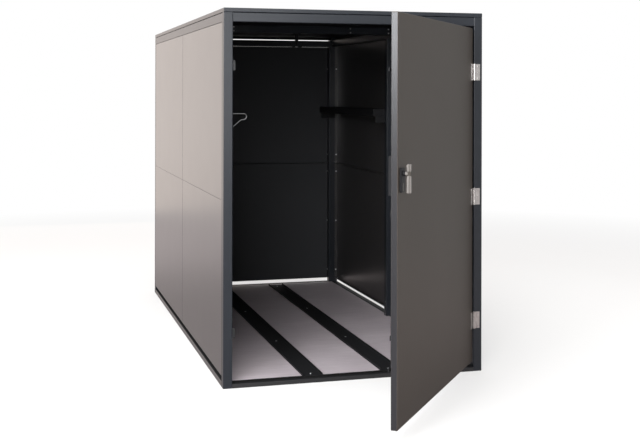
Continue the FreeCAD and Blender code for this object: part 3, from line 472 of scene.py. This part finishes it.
def mix_shaders(tree, share, first, second):
    """Two shaders, of which the second has the share given."""
    node = add(tree, "ShaderNodeMixShader", Fac=share)
    tree.links.new(first, node.inputs[1])
    tree.links.new(second, node.inputs[2])
    return node.outputs["Shader"]


# Materials
# Noise scales are per metre, and numbers after a colour are roughness and then specular level

CLOUD_SCALE = 1.6
CLOUD_SHADE = 0.05
CLOUD_BAND = (0.15, 0.85)
SHINE_SCALE = 6.0
SHINE_SPREAD = 0.003
PEEL_SCALE = 420.0
PEEL_STRENGTH = 0.02
PEEL_DEEP = 0.1 * MM
WAVE_SCALE = 3.0
WAVE_STRETCH = (1, 1.6, 0.45)
WAVE_DEEP = 0.04 * MM

BRUSH_STRETCH = (1.0, 1.0, 1 / 40.0)
BRUSH_SCALE = 1400.0
BRUSH_STRENGTH = 0.15
BRUSH_DEEP = 0.05 * MM
BLOT_SCALE = 60.0
BLOT_SHADE = 0.82

ZINC_CLOUD_SCALE = 120.0
ZINC_SHADE = 0.75
ZINC_GRAIN_SCALE = 900.0
ZINC_GRAIN_STRENGTH = 0.08
ZINC_GRAIN_DEEP = 0.05 * MM
SPANGLE_SCALE = 90.0
SPANGLE_BAND = (0.1, 0.6)
SPANGLE_SHADE = 0.8
SPANGLE_DULL_SCALE = 30.0

STREAK_STRETCH = (0.03, 1, 1)
STREAK_SCALE = 260.0
STREAK_SHADES = (0.88, 1.09)
STREAK_STRENGTH = 0.25
STREAK_DEEP = 0.15 * MM
STAIN_SCALE = 5.0
STAIN_SHARE = 0.6
STAIN_COLOR = (0.86, 0.85, 0.86)
BOARD_CORE_COLOR = (0.006, 0.006, 0.006, 1)
# How far below a board's top its light skin ends, and where the dark core begins
SKIN_ENDS = 0.7 * MM
CORE_BEGINS = 1.1 * MM


def powder_coat(name, color, roughness, gloss=0.5, waved=False):
    """Powder coat: faint cloudiness, with a fine orange peel or, on large sheets, a faint wave."""
    material, tree, surface = shader(name, color, roughness)
    surface.inputs["Specular IOR Level"].default_value = gloss
    at = place(tree)
    cloud = noise(tree, at, CLOUD_SCALE, 1.0)
    tint = ramp(tree, cloud, shaded(color, 1 - CLOUD_SHADE), shaded(color, 1 + CLOUD_SHADE), CLOUD_BAND)
    shine = noise(tree, at, SHINE_SCALE, 1.0)
    if waved:
        uneven = bump(tree, noise(tree, place(tree, WAVE_STRETCH), WAVE_SCALE, 0.0), 1.0, WAVE_DEEP)
    else:
        uneven = bump(tree, noise(tree, at, PEEL_SCALE, 0.0), PEEL_STRENGTH, PEEL_DEEP)
    join(tree, surface, tint,
         spread(tree, shine, roughness - SHINE_SPREAD, roughness + SHINE_SPREAD), uneven)
    return material


def brushed(name, color, roughness):
    """Brushed metal, with fine upright streaks."""
    material, tree, surface = shader(name, color, roughness, 1.0)
    streak = noise(tree, place(tree, BRUSH_STRETCH), BRUSH_SCALE)
    blot = noise(tree, place(tree), BLOT_SCALE, 3.0)
    join(tree, surface, ramp(tree, blot, shaded(color, BLOT_SHADE), color),
         spread(tree, streak, roughness - 0.06, roughness + 0.08),
         bump(tree, streak, BRUSH_STRENGTH, BRUSH_DEEP))
    return material


def zinc_plate(name, color, roughness):
    """Plated metal on small pressed and wire pieces, slightly clouded."""
    material, tree, surface = shader(name, color, roughness, 1.0)
    at = place(tree)
    cloud = noise(tree, at, ZINC_CLOUD_SCALE, 3.0)
    grain = noise(tree, at, ZINC_GRAIN_SCALE)
    join(tree, surface, ramp(tree, cloud, shaded(color, ZINC_SHADE), color),
         spread(tree, cloud, roughness - 0.05, roughness + 0.1),
         bump(tree, grain, ZINC_GRAIN_STRENGTH, ZINC_GRAIN_DEEP))
    return material


def spangled(name, color, roughness):
    """Hot-dip zinc with its crystal pattern."""
    material, tree, surface = shader(name, color, roughness, 0.8)
    at = place(tree)
    cells = add(tree, "ShaderNodeTexVoronoi", Vector=at, Scale=SPANGLE_SCALE).outputs["Distance"]
    dull = noise(tree, at, SPANGLE_DULL_SCALE)
    join(tree, surface, ramp(tree, cells, shaded(color, SPANGLE_SHADE), color, SPANGLE_BAND),
         spread(tree, dull, roughness - 0.08, roughness + 0.08))
    return material


def floor_board(name, color, roughness, top):
    """The light laminate floor: fine streaks from side to side, faint stains and a dark core."""
    material, tree, surface = shader(name, color, roughness)
    streak = noise(tree, place(tree, STREAK_STRETCH), STREAK_SCALE, 3.0)
    stain = noise(tree, place(tree), STAIN_SCALE, 4.0)
    dark, light = [shaded(color, share) for share in STREAK_SHADES]
    skin = add(tree, "ShaderNodeMix", data_type="RGBA", blend_type="MULTIPLY", Factor=STAIN_SHARE,
               A=ramp(tree, streak, dark, light, PATTERN_MIDDLE),
               B=ramp(tree, stain, STAIN_COLOR, (1, 1, 1)))
    height = add(tree, "ShaderNodeSeparateXYZ", Vector=place(tree)).outputs["Z"]
    share = stretch(tree, height, top - CORE_BEGINS, top - SKIN_ENDS, 0.0, 1.0)
    board = add(tree, "ShaderNodeMix", data_type="RGBA", A=BOARD_CORE_COLOR, Factor=share,
                B=skin.outputs["Result"])
    join(tree, surface, board.outputs["Result"], spread(tree, stain, roughness - 0.06, roughness + 0.06),
         bump(tree, streak, STREAK_STRENGTH, STREAK_DEEP))
    return material


FRAME_PAINT = powder_coat("frame_powder_coat", (0.012, 0.014, 0.018), 0.32, 0.27)
SILL_PAINT = powder_coat("sill_powder_coat", (0.013, 0.013, 0.014), 0.50, 0.30)
# Painted light: the side sills get a lighter, glossier copy of the sill paint, standing in for the pale ground
# they reflect
SIDE_SILL_LIT_PAINT = powder_coat("side_sill_powder_coat", (0.020, 0.021, 0.022), 0.28, 0.50)
PANEL_PAINT = powder_coat("panel_powder_coat", (0.027, 0.025, 0.025), 0.28, waved=True)
REAR_PAINT = powder_coat("rear_wall_powder_coat", (0.026, 0.027, 0.030), 0.55, 0.22)
DOOR_PAINT = powder_coat("door_powder_coat", (0.039, 0.0325, 0.0275), 0.50, 0.10, waved=True)
# Painted shade: a darker copy of the door paint for the door's lock edge, glossier so that it catches the lamps
DOOR_EDGE_SHADE_PAINT = powder_coat("door_edge_powder_coat", (0.014, 0.014, 0.016), 0.27, 0.45)
BLACK_PAINT = powder_coat("black_powder_coat", (0.009, 0.009, 0.010), 0.55, 0.12)
RAIL_PAINT = powder_coat("rail_black_paint", (0.012, 0.012, 0.013), 0.60, 0.10)
HANDLE_STEEL = powder_coat("satin_handle_coat", (0.125, 0.115, 0.108), 0.55, 0.30)
# Dark paint for the grip's waist, and painted shade in its groove
WAIST_AND_GROOVE_SHADE_PAINT = powder_coat("dark_hub_coat", (0.045, 0.04, 0.034), 0.60, 0.10)
# Black for the board's core on its edge, and painted shade on the strip of its top behind the sill
CORE_AND_SHADE_BLACK = powder_coat("laminate_core", (0.007, 0.007, 0.007), 0.60, 0.06)
STAINLESS = brushed("brushed_stainless", (0.42, 0.40, 0.39), 0.30)
ZINC = zinc_plate("bright_zinc", (0.62, 0.63, 0.64), 0.34)
DULL_ZINC = zinc_plate("dull_zinc", (0.11, 0.112, 0.115), 0.42)
# A darker zinc for the keepers than for the other zinc pieces
KEEPER_ZINC = zinc_plate("aged_zinc", (0.055, 0.056, 0.058), 0.50)
NICKEL = zinc_plate("satin_nickel", (0.11, 0.105, 0.095), 0.48)
GALVANISED = spangled("galvanised_steel", (0.15, 0.155, 0.16), 0.50)
FLOOR = floor_board("floor_laminate", (0.47, 0.42, 0.445), 0.55, span("floor_plate_front")[1].z)
BY_SLOT = {"frame_paint": FRAME_PAINT, "panel_paint": PANEL_PAINT, "door_paint": DOOR_PAINT,
           "black_paint": BLACK_PAINT, "stainless": STAINLESS, "zinc": ZINC, "nickel": NICKEL,
           "galvanised": GALVANISED, "floor_sheet": FLOOR}


def dress_cad_nodes():
    """Give every node its material; the nodes that pieces replace are hidden by then."""
    for node, obj in frame["nodes"].items():
        obj.data.materials.clear()
        obj.data.materials.append(BY_SLOT[SLOT_OF[node]])
        if not obj.hide_render:
            obj.data.shade_smooth()
            obj.data.set_sharp_from_angle(angle=math.radians(SMOOTH))


# Pieces


def frame_tubes():
    """Posts, rails and beams as drawn tubes, and the sills as low channels open underneath, with their tops
    painted black as painted shade.
    """
    for node in [part for part, slot in SLOT_OF.items() if slot == "frame_paint" and part != "roof_spacers"]:
        if node.endswith("sill") or "_sill_" in node:
            # Painted light: the side sills are in a lighter copy of the sill paint
            paint = SIDE_SILL_LIT_PAINT if node.startswith("side_") else SILL_PAINT
            sill = tray_piece(node, Z, -1, paint, SILL_ROUND, "_channel")
            # Painted shade: the sills' top faces are painted matte black to stand for the dark shadow band along
            # them
            paint_some(sill, RAIL_PAINT, lambda face: face.normal.z > FACING)
        else:
            rounded_bar(node, FRAME_PAINT)


def wall_panels():
    """The trays of the walls."""
    for side, sign in (("left", 1), ("right", -1)):
        for end in ("front", "rear"):
            for row in ("lower", "upper"):
                tray_piece("side_panel_%s_%s_%s" % (side, end, row), X, sign, PANEL_PAINT)
    for row in ("lower", "upper"):
        tray_piece("rear_panel_" + row, Y, -1, REAR_PAINT)


def roof():
    """The roof tray, with a lip turned in under its edge, and its inner face painted black as painted shade."""
    bm = bmesh.new()
    verts = block(bm, *span("roof_sheet"))
    under = [face for face in faces_of(verts) if face.normal.z < -FACING]
    bmesh.ops.inset_region(bm, faces=under, thickness=ROOF_LIP, use_even_offset=True)
    bmesh.ops.delete(bm, geom=under, context="FACES_ONLY")
    round_edges(bm, shared_edges(bm, SQUARE), FOLD_ROUND)
    tray = finish_piece("roof_tray", bm, FRAME_PAINT, "roof_sheet")
    # Painted shade: the tray's inner face is painted black
    tray.data.materials.append(BLACK_PAINT)
    thicken(tray).modifiers["sheet"].material_offset = 1


def door_leaf():
    """The door's folded outer tray, its lock edge in a darker, glossier copy of its paint as painted shade, and
    its inner sheet.
    """
    shell = tray_piece("door_outer_skin", Y, 1, DOOR_PAINT, WIDE_FOLD_ROUND, "_shell")
    square = TO_DOOR.to_3x3()
    # Painted shade: the lock edge's faces get the darker copy of the door paint
    paint_some(shell, DOOR_EDGE_SHADE_PAINT, lambda face: (square @ face.normal).x < -FACING_EDGE)
    bm = bmesh.new()
    verts = block(bm, *span("door_inner_skin"))
    round_edges(bm, edges_along(verts, Y), DOOR_SHEET_ROUND)
    crisp_edges(bm, SHEET_EDGE, SQUARE)
    finish_piece("door_inner_sheet", bm, PANEL_PAINT, "door_inner_skin")


def floor_plates():
    """Three boards with softly rounded edges; the front one is black along its front edge: its core on the edge
    face, and painted shade on a strip of its top.
    """
    for name in ("front", "middle", "rear"):
        node = "floor_plate_" + name
        low, high = span(node)
        strip = low.y + SHADE_STRIP
        bm = bmesh.new()
        verts = block(bm, low, high)
        round_edges(bm, [e for e in edges_along(verts, X) if e.verts[0].co.z > low.z + MM], BOARD_ROUND)
        if name == "front":
            cut_across(bm, Y, strip)
        board = finish_piece(node + "_board", bm, FLOOR, node)
        if name == "front":
            # Painted shade: the top strip along the front edge is painted black, with the edge face's core
            paint_some(board, CORE_AND_SHADE_BLACK, lambda face: face.center.y < strip)


def wheel_rails():
    """Black channels with low upturned sides and open ends."""
    for side in ("left", "right"):
        node = "wheel_rail_" + side
        bm = bmesh.new()
        verts = block(bm, *span(node))
        away = [face for face in faces_of(verts) if face.normal.z > FACING or abs(face.normal.y) > FACING]
        bmesh.ops.delete(bm, geom=away, context="FACES_ONLY")
        round_edges(bm, shared_edges(bm), RAIL_ROUND, 2)
        thicken(finish_piece(node + "_channel", bm, RAIL_PAINT, node))


def shelf():
    """The folded shelf on the right wall."""
    tray_piece("wall_shelf", Z, 1, BLACK_PAINT, WIDE_FOLD_ROUND)


def screws():
    """Pan-head screws with a round socket, where the CAD's screws are."""
    for node in ("frame_screws", "rail_screws", "frame_hinge_screws", "door_hinge_screws"):
        bm = bmesh.new()
        for low, high, points in islands(node):
            size = high - low
            axis = min(range(3), key=lambda k: size[k])
            middle = (low + high) / 2
            reach = {}
            for way, level in ((-1, low[axis]), (1, high[axis])):
                reach[way] = max((p - middle).length for p in points if abs(p[axis] - level) < SCREW_END)
            out = 1 if reach[1] > reach[-1] else -1
            top = high[axis] if out > 0 else low[axis]
            pan_head(bm, middle, axis, out, top, size[(axis + 1) % 3] / 2, size[axis])
        finish_piece(node + "_heads", bm, BY_SLOT[SLOT_OF[node]], node, SMOOTH_SCREW)


def pan_head(bm, middle, axis, out, top, radius, length):
    """One screw: a domed head with a socket, and a plain shank behind it."""
    outline = [(share * radius, HEAD_TALL - below * MM) for share, below in HEAD_PROFILE]
    shank, tip = SHANK * radius, HEAD_TALL - length
    outline += [(radius, 0), (shank, 0), (shank, tip), (0, tip)]
    verts = [bm.verts.new((wide, 0, level)) for wide, level in outline]
    edges = [bm.edges.new(pair) for pair in zip(verts, verts[1:])]
    made = bmesh.ops.spin(bm, geom=verts + edges, cent=(0, 0, 0), axis=(0, 0, 1), angle=2 * math.pi,
                          steps=16, use_merge=True)
    last = [item for item in made["geom_last"] if isinstance(item, bmesh.types.BMVert)]
    whole = connected(verts + last)
    bmesh.ops.remove_doubles(bm, verts=list(whole), dist=SAME)
    whole = [vert for vert in whole if vert.is_valid]
    bmesh.ops.recalc_face_normals(bm, faces=list(faces_of(whole)))
    way = Vector((0, 0, 0))
    way[axis] = out
    turn = Vector((0, 0, 1)).rotation_difference(way).to_matrix().to_4x4()
    seat = Vector(middle)
    seat[axis] = top - out * HEAD_TALL
    bmesh.ops.transform(bm, matrix=Matrix.Translation(seat) @ turn, verts=whole)


def narrow_waist(bm, depth):
    """Cut the grip at the levels of its waist and draw it in there, round its middle depth."""
    for level in sorted(sign * away for away, _, _ in WAIST for sign in (-1, 1)):
        cut_across(bm, Z, HUB.z + level)
    for vert in bm.verts:
        away = abs(vert.co.z - HUB.z)
        narrow, thin = next(((wide, thick) for level, wide, thick in WAIST if away < level + MM), (1, 1))
        vert.co.x = HUB.x + (vert.co.x - HUB.x) * narrow
        vert.co.y = depth + (vert.co.y - depth) * thin


def cut_groove(bm, groove):
    """Sink a groove all round the grip, at one depth behind its face."""
    for step in (-GROOVE_MOUTH, -GROOVE_FLOOR, GROOVE_FLOOR, GROOVE_MOUTH):
        cut_across(bm, Y, groove + step)
    for vert in bm.verts:
        if abs(vert.co.y - groove) < GROOVE_FLOOR + ON_PLANE:
            inwards = HUB.x - vert.co.x
            vert.co.x += math.copysign(min(GROOVE_DEEP, abs(inwards)), inwards)
            if abs(vert.co.z - HUB.z) > GRIP_ENDS:
                vert.co.z += math.copysign(GROOVE_DEEP, HUB.z - vert.co.z)


def handle():
    """The turning handle: a rounded bar, grooved all round, with a dark waist, painted shade in its groove, a neck
    and a spindle.
    """
    low, high = span("turn_handle")
    near = low.y + GRIP_THICK
    groove = low.y + GROOVE_AT
    bm = bmesh.new()
    verts = block(bm, low, (high.x, near, high.z))
    round_edges(bm, edges_along(verts, Z), GRIP_ROUND, 5)
    narrow_waist(bm, (low.y + near) / 2)
    round_edges(bm, shared_edges(bm, SQUARE), GRIP_END_ROUND, 5)
    cut_groove(bm, groove)
    for radius, start, end in ((NECK, near - NECK_ROOT, NECK_END), (SPINDLE, NECK_END - MM, high.y)):
        drum(bm, radius, (HUB.x, start, HUB.z), (HUB.x, end, HUB.z), Y)
    grip = finish_piece("turn_handle_grip", bm, HANDLE_STEEL, "turn_handle", SMOOTH_ROUND)

    def dark(face):
        middle = TO_DOOR @ face.center
        waist = abs(middle.z - HUB.z) < DARK_WAIST and middle.y < near
        # Painted shade: the groove's faces are painted dark
        return waist or abs(middle.y - groove) < GROOVE_FLOOR + ON_PLANE

    paint_some(grip, WAIST_AND_GROOVE_SHADE_PAINT, dark)


def shield():
    """The black plate behind the handle, with rounded corners, a soft rim and a collar for the neck."""
    low, high = span("lock_escutcheon")
    front = high.y - SHIELD_THICK
    bm = bmesh.new()
    verts = block(bm, (low.x, front, low.z), high)
    round_edges(bm, edges_along(verts, Y), SHIELD_CORNER, 5)
    round_edges(bm, edges_where(bm.verts, lambda co: co.y < front + ON_PLANE), SHIELD_RIM)
    verts = drum(bm, COLLAR, (HUB.x, low.y, HUB.z), (HUB.x, front + MM, HUB.z), Y, 40)
    round_edges(bm, edges_where(verts, lambda co: co.y < low.y + ON_PLANE), COLLAR_RIM)
    finish_piece("lock_shield", bm, BLACK_PAINT, "lock_escutcheon", SMOOTH_ROUND)


def wire_hook():
    """The bent wire loop inside the door, on its block behind the post."""
    low, high = span("wire_hook")
    middle = Vector((high.x - HOOK_ROUND - WIRE, low.y + HOOK_PLANE, high.z - HOOK_MARGIN - HOOK_ROUND))
    left = low.x + HOOK_BLOCK / 2
    path = [(left, middle.y, middle.z + HOOK_ROUND)] + arc_points(middle, HOOK_ROUND, 90, -90)
    path += [(middle.x - HOOK_ROUND, middle.y, middle.z - HOOK_ROUND - HOOK_KNEE),
             (left, middle.y, low.z + HOOK_MARGIN)]
    bm = bmesh.new()
    swept_rod(bm, path, WIRE)
    verts = block(bm, low, (low.x + HOOK_BLOCK, low.y + HOOK_BLOCK_DEEP, high.z))
    round_edges(bm, edges_where(verts, lambda co: True), HOOK_BLOCK_EDGE, 2)
    finish_piece("wire_hook_bent", bm, DULL_ZINC, "wire_hook", SMOOTH_ROUND)


def ceiling_hook():
    """The double hook under the cross beam: two upturned arms in bent rod, a stem, a boss and a plate."""
    low, high = span("ceiling_hook")
    middle = (low.x + high.x) / 2
    depth = (low.y + high.y) / 2
    bend = low.z + CEILING_ROUND + CEILING_ROD
    tip = bend + CEILING_TIP
    bm = bmesh.new()
    for side in (-1, 1):
        end = (middle + side * 2 * CEILING_ROUND, depth, tip)
        path = arc_points((middle + side * CEILING_ROUND, depth, bend), CEILING_ROUND, 180, 360)
        swept_rod(bm, [end] + path if side < 0 else path + [end], CEILING_ROD)
    for side in (-1, 1):
        ball = bmesh.ops.create_uvsphere(bm, u_segments=16, v_segments=10, radius=CEILING_ROD)["verts"]
        bmesh.ops.translate(bm, vec=(middle + side * 2 * CEILING_ROUND, depth, tip), verts=ball)
    drum(bm, CEILING_STEM, (middle, depth, bend), (middle, depth, bend + CEILING_STEM_LONG))
    boss_low = bend + CEILING_BOSS_LOW
    verts = drum(bm, CEILING_BOSS, (middle, depth, boss_low), (middle, depth, high.z - MM))
    round_edges(bm, edges_where(verts, lambda co: co.z < boss_low + MM), CEILING_BOSS_RIM, 4)
    across, along = CEILING_PLATE_HALF
    plate_low = high.z - CEILING_PLATE
    verts = block(bm, (middle - across, depth - along, plate_low), (middle + across, depth + along, high.z))
    round_edges(bm, edges_along(verts, Z), CEILING_PLATE_CORNER, 4)
    round_edges(bm, edges_where(bm.verts, lambda co: abs(co.z - plate_low) < ON_PLANE), CEILING_PLATE_EDGE, 2)
    finish_piece("ceiling_hook_bent", bm, BLACK_PAINT, "ceiling_hook", SMOOTH_ROUND)


def small_pieces():
    """Pressed, sawn and turned pieces: their edges are broken and each keeps its finish, except the keepers, which
    are in a darker zinc.
    """
    for node in ("frame_hinge_leaves", "door_hinge_leaves", "hinge_pins", "shelf_brackets", "lock_case",
                 "upper_lock_rod", "lower_lock_rod", "lock_cam", "rod_guides", "anchor_plates",
                 "roof_spacers"):
        softened(node, BY_SLOT[SLOT_OF[node]])
    for node in ("upper_keeper", "lower_keeper"):
        softened(node, KEEPER_ZINC)
    for node in ("lock_cylinder", "cylinder_core"):
        softened(node, BY_SLOT[SLOT_OF[node]], TURNED_EDGE)


# Studio

FLOOR_WIDE = 60.0
FLOOR_DROP = 0.5 * MM
FLOOR_COLOR = (0.78, 0.768, 0.76)
FLOOR_ROUGHNESS = 0.8
FLOOR_GLOSS = 0.1
# The camera sees the floor as white beyond this radius, and with its shadows nearer to the locker
FLOOR_LIFT_RADIUS = 7.0
FLOOR_LIFT_BAND = (0.02, 0.55)
FLOOR_LIFT_FAR = 1.0
FLOOR_LIFT_NEAR = 0.48
# How bright the ground glows in reflections, a painted reflection that is darker and warmer near the locker,
# by the metres behind the locker's middle, or twice those to its right where that is more
MIRRORED_GROUND = ((0.3, 0.56), (0.95, 0.58), (1.75, 0.68), (2.8, 0.92), (3.9, 1.0), (5.3, 1.0),
                   (7.0, 0.93), (11.0, 0.90), (16.0, 0.97))
MIRRORED_REACH = 20.0
WARM_REACH = 6.0
WARM_TINT = (1, 0.885, 0.88)
PLAIN_TINT = (1, 1, 1)
# Which way the studio's bright side lies, seen from the locker, and the light that each side gives
BRIGHT_WAY = Vector((-0.55, 0.83, 0.05)).normalized()
WALL_SHADES = ((0.05, (0.30, 0.30, 0.31)), (0.53, (0.42, 0.41, 0.40)), (0.95, (0.90, 0.87, 0.85)))


def shade_ramp(tree, value, shades):
    """A ramp through several colours, each at its place."""
    node = add(tree, "ShaderNodeValToRGB", Fac=value)
    stops = node.color_ramp.elements
    while len(stops) < len(shades):
        stops.new(0.5)
    for stop, (position, color) in zip(stops, shades):
        stop.position = position
        stop.color = (*color, 1)
    return node.outputs["Color"]


def seen_rays(tree, rays):
    """One for the rays in which the background shows: the camera's, reflections and glass."""
    seen = rays.outputs["Is Camera Ray"]
    for name in ("Is Glossy Ray", "Is Transmission Ray"):
        seen = calculate(tree, "MAXIMUM", seen, rays.outputs[name])
    return seen


def camera_lift(tree, where, rays):
    """How much of the floor is plain light: all of it in reflections, and to the camera only far out."""
    mapping = add(tree, "ShaderNodeMapping", Vector=where,
                  Scale=(1 / FLOOR_LIFT_RADIUS, 1 / FLOOR_LIFT_RADIUS, 1))
    near = add(tree, "ShaderNodeTexGradient", gradient_type="SPHERICAL", Vector=mapping.outputs["Vector"])
    lift = stretch(tree, near.outputs["Fac"], *FLOOR_LIFT_BAND, FLOOR_LIFT_FAR, FLOOR_LIFT_NEAR)
    share = add(tree, "ShaderNodeMix", data_type="FLOAT", A=1.0, B=lift, Factor=rays.outputs["Is Camera Ray"])
    return calculate(tree, "MULTIPLY", seen_rays(tree, rays), share.outputs["Result"])


def ground_light(tree, where, rays):
    """The floor's plain light: white to the camera, and in reflections a painted reflection, darker and warmer
    near the locker.
    """
    apart = add(tree, "ShaderNodeSeparateXYZ", Vector=where)
    beside = calculate(tree, "MULTIPLY", apart.outputs["X"], 2.0)
    away = calculate(tree, "MAXIMUM", apart.outputs["Y"], beside)
    shades = [(back / MIRRORED_REACH, shaded(PLAIN_TINT if back > WARM_REACH else WARM_TINT, level))
              for back, level in MIRRORED_GROUND]
    mirrored = shade_ramp(tree, stretch(tree, away, 0.0, MIRRORED_REACH, 0.0, 1.0), shades)
    color = add(tree, "ShaderNodeMix", data_type="RGBA", A=mirrored, B=(1, 1, 1, 1),
                Factor=rays.outputs["Is Camera Ray"])
    return add(tree, "ShaderNodeEmission", Strength=1.0, Color=color.outputs["Result"]).outputs["Emission"]


def studio_floor():
    """A pale floor that keeps the shadow and turns white further out; in reflections it shows a painted
    reflection, darker near the locker.
    """
    bm = bmesh.new()
    bmesh.ops.create_grid(bm, x_segments=1, y_segments=1, size=FLOOR_WIDE / 2)
    mesh = bpy.data.meshes.new("studio_floor")
    bm.to_mesh(mesh)
    bm.free()
    ground = link(bpy.data.objects.new("studio_floor", mesh))
    ground.location.z = -FLOOR_DROP
    material, tree, surface = shader("studio_floor", FLOOR_COLOR, FLOOR_ROUGHNESS)
    surface.inputs["Specular IOR Level"].default_value = FLOOR_GLOSS
    where = add(tree, "ShaderNodeTexCoord").outputs["Object"]
    rays = add(tree, "ShaderNodeLightPath")
    floor = mix_shaders(tree, camera_lift(tree, where, rays), surface.outputs["BSDF"],
                        ground_light(tree, where, rays))
    tree.links.new(floor, tree.nodes["Material Output"].inputs["Surface"])
    mesh.materials.append(material)


def studio_world():
    """White to the camera and in reflections; as light, brighter from behind on the left."""
    world = bpy.data.worlds.new("studio")
    world.use_nodes = True
    scene.world = world
    tree = world.node_tree
    tree.nodes.clear()
    way = add(tree, "ShaderNodeTexCoord").outputs["Generated"]
    dot = add(tree, "ShaderNodeVectorMath", operation="DOT_PRODUCT")
    dot.inputs[1].default_value = BRIGHT_WAY
    tree.links.new(way, dot.inputs[0])
    shade = shade_ramp(tree, stretch(tree, dot.outputs["Value"], -1.0, 1.0, 0.0, 1.0), WALL_SHADES)
    lit = add(tree, "ShaderNodeBackground", Strength=1.0, Color=shade)
    white = add(tree, "ShaderNodeBackground", Strength=1.0, Color=(1, 1, 1, 1))
    rays = add(tree, "ShaderNodeLightPath")
    sky = mix_shaders(tree, seen_rays(tree, rays), lit.outputs["Background"], white.outputs["Background"])
    add(tree, "ShaderNodeOutputWorld", Surface=sky)


def softbox(name, at, aim, wide, tall, watts, color=(1, 1, 1)):
    """A rectangular lamp that faces a point."""
    lamp = bpy.data.lights.new(name, "AREA")
    lamp.shape = "RECTANGLE"
    lamp.size = wide
    lamp.size_y = tall
    lamp.energy = watts
    lamp.color = color
    obj = link(bpy.data.objects.new(name, lamp))
    obj.visible_camera = False
    obj.location = at
    obj.rotation_euler = (Vector(aim) - Vector(at)).to_track_quat("-Z", "Y").to_euler()


def lights():
    """Soft lamps at the front left and over the locker, and weak cards low, right and behind."""
    softbox("front_softbox", at=(-3.3, -7.1, 3.3), aim=(0.1, 0.2, 0.1), wide=3.4, tall=2.2, watts=470)
    softbox("front_left_softbox", at=(-4.2, -5.0, 2.9), aim=(0.0, -2.2, 1.4), wide=2.0, tall=2.6, watts=250,
            color=(0.95, 0.97, 1.0))
    softbox("top_softbox", at=(-0.8, -1.0, 6.0), aim=(-0.2, -0.6, 0.0), wide=6.0, tall=6.0, watts=420)
    softbox("low_fill", at=(-2.6, -7.0, 1.5), aim=(0.3, 0.4, 1.2), wide=2.0, tall=1.4, watts=80)
    softbox("right_card", at=(0.4, -7.2, 2.1), aim=(-0.3, -1.3, 1.4), wide=1.4, tall=2.6, watts=76)
    softbox("back_softbox", at=(-3.5, 5.5, 1.8), aim=(-3.5, 0.0, 1.8), wide=9.0, tall=3.4, watts=64,
            color=(1.0, 0.74, 0.60))


# Where the photograph was taken from, in metres and degrees, and its focal length and horizon in pixels
CAMERA_AT = (-1.611, -6.381, 1.400)
CAMERA_YAW = 15.64
CAMERA_ROLL = 0.121
PICTURE_WIDE = 640
PICTURE_TALL = 439
FOCAL_PIXELS = 1092.3
HORIZON_ROW = 92.4
SENSOR_WIDE = 36.0
VIEW_REACH = 200.0


def camera():
    """The photograph's camera: level, with its picture shifted down."""
    lens = bpy.data.cameras.new("camera")
    lens.sensor_width = SENSOR_WIDE
    lens.lens = FOCAL_PIXELS * SENSOR_WIDE / PICTURE_WIDE
    lens.shift_y = (HORIZON_ROW - PICTURE_TALL / 2) / PICTURE_WIDE
    lens.clip_end = VIEW_REACH
    obj = link(bpy.data.objects.new("camera", lens))
    obj.location = CAMERA_AT
    turn = Matrix.Rotation(math.radians(-CAMERA_YAW), 3, "Z") @ Matrix.Rotation(math.radians(90), 3, "X")
    turn = turn @ Matrix.Rotation(math.radians(CAMERA_ROLL), 3, "Z")
    obj.rotation_euler = turn.to_euler()
    scene.camera = obj


camera()
frame_tubes()
wall_panels()
roof()
door_leaf()
floor_plates()
wheel_rails()
shelf()
screws()
handle()
shield()
wire_hook()
ceiling_hook()
small_pieces()
settle_normals()
dress_cad_nodes()
studio_floor()
studio_world()
lights()
scene.view_settings.view_transform = "Standard"
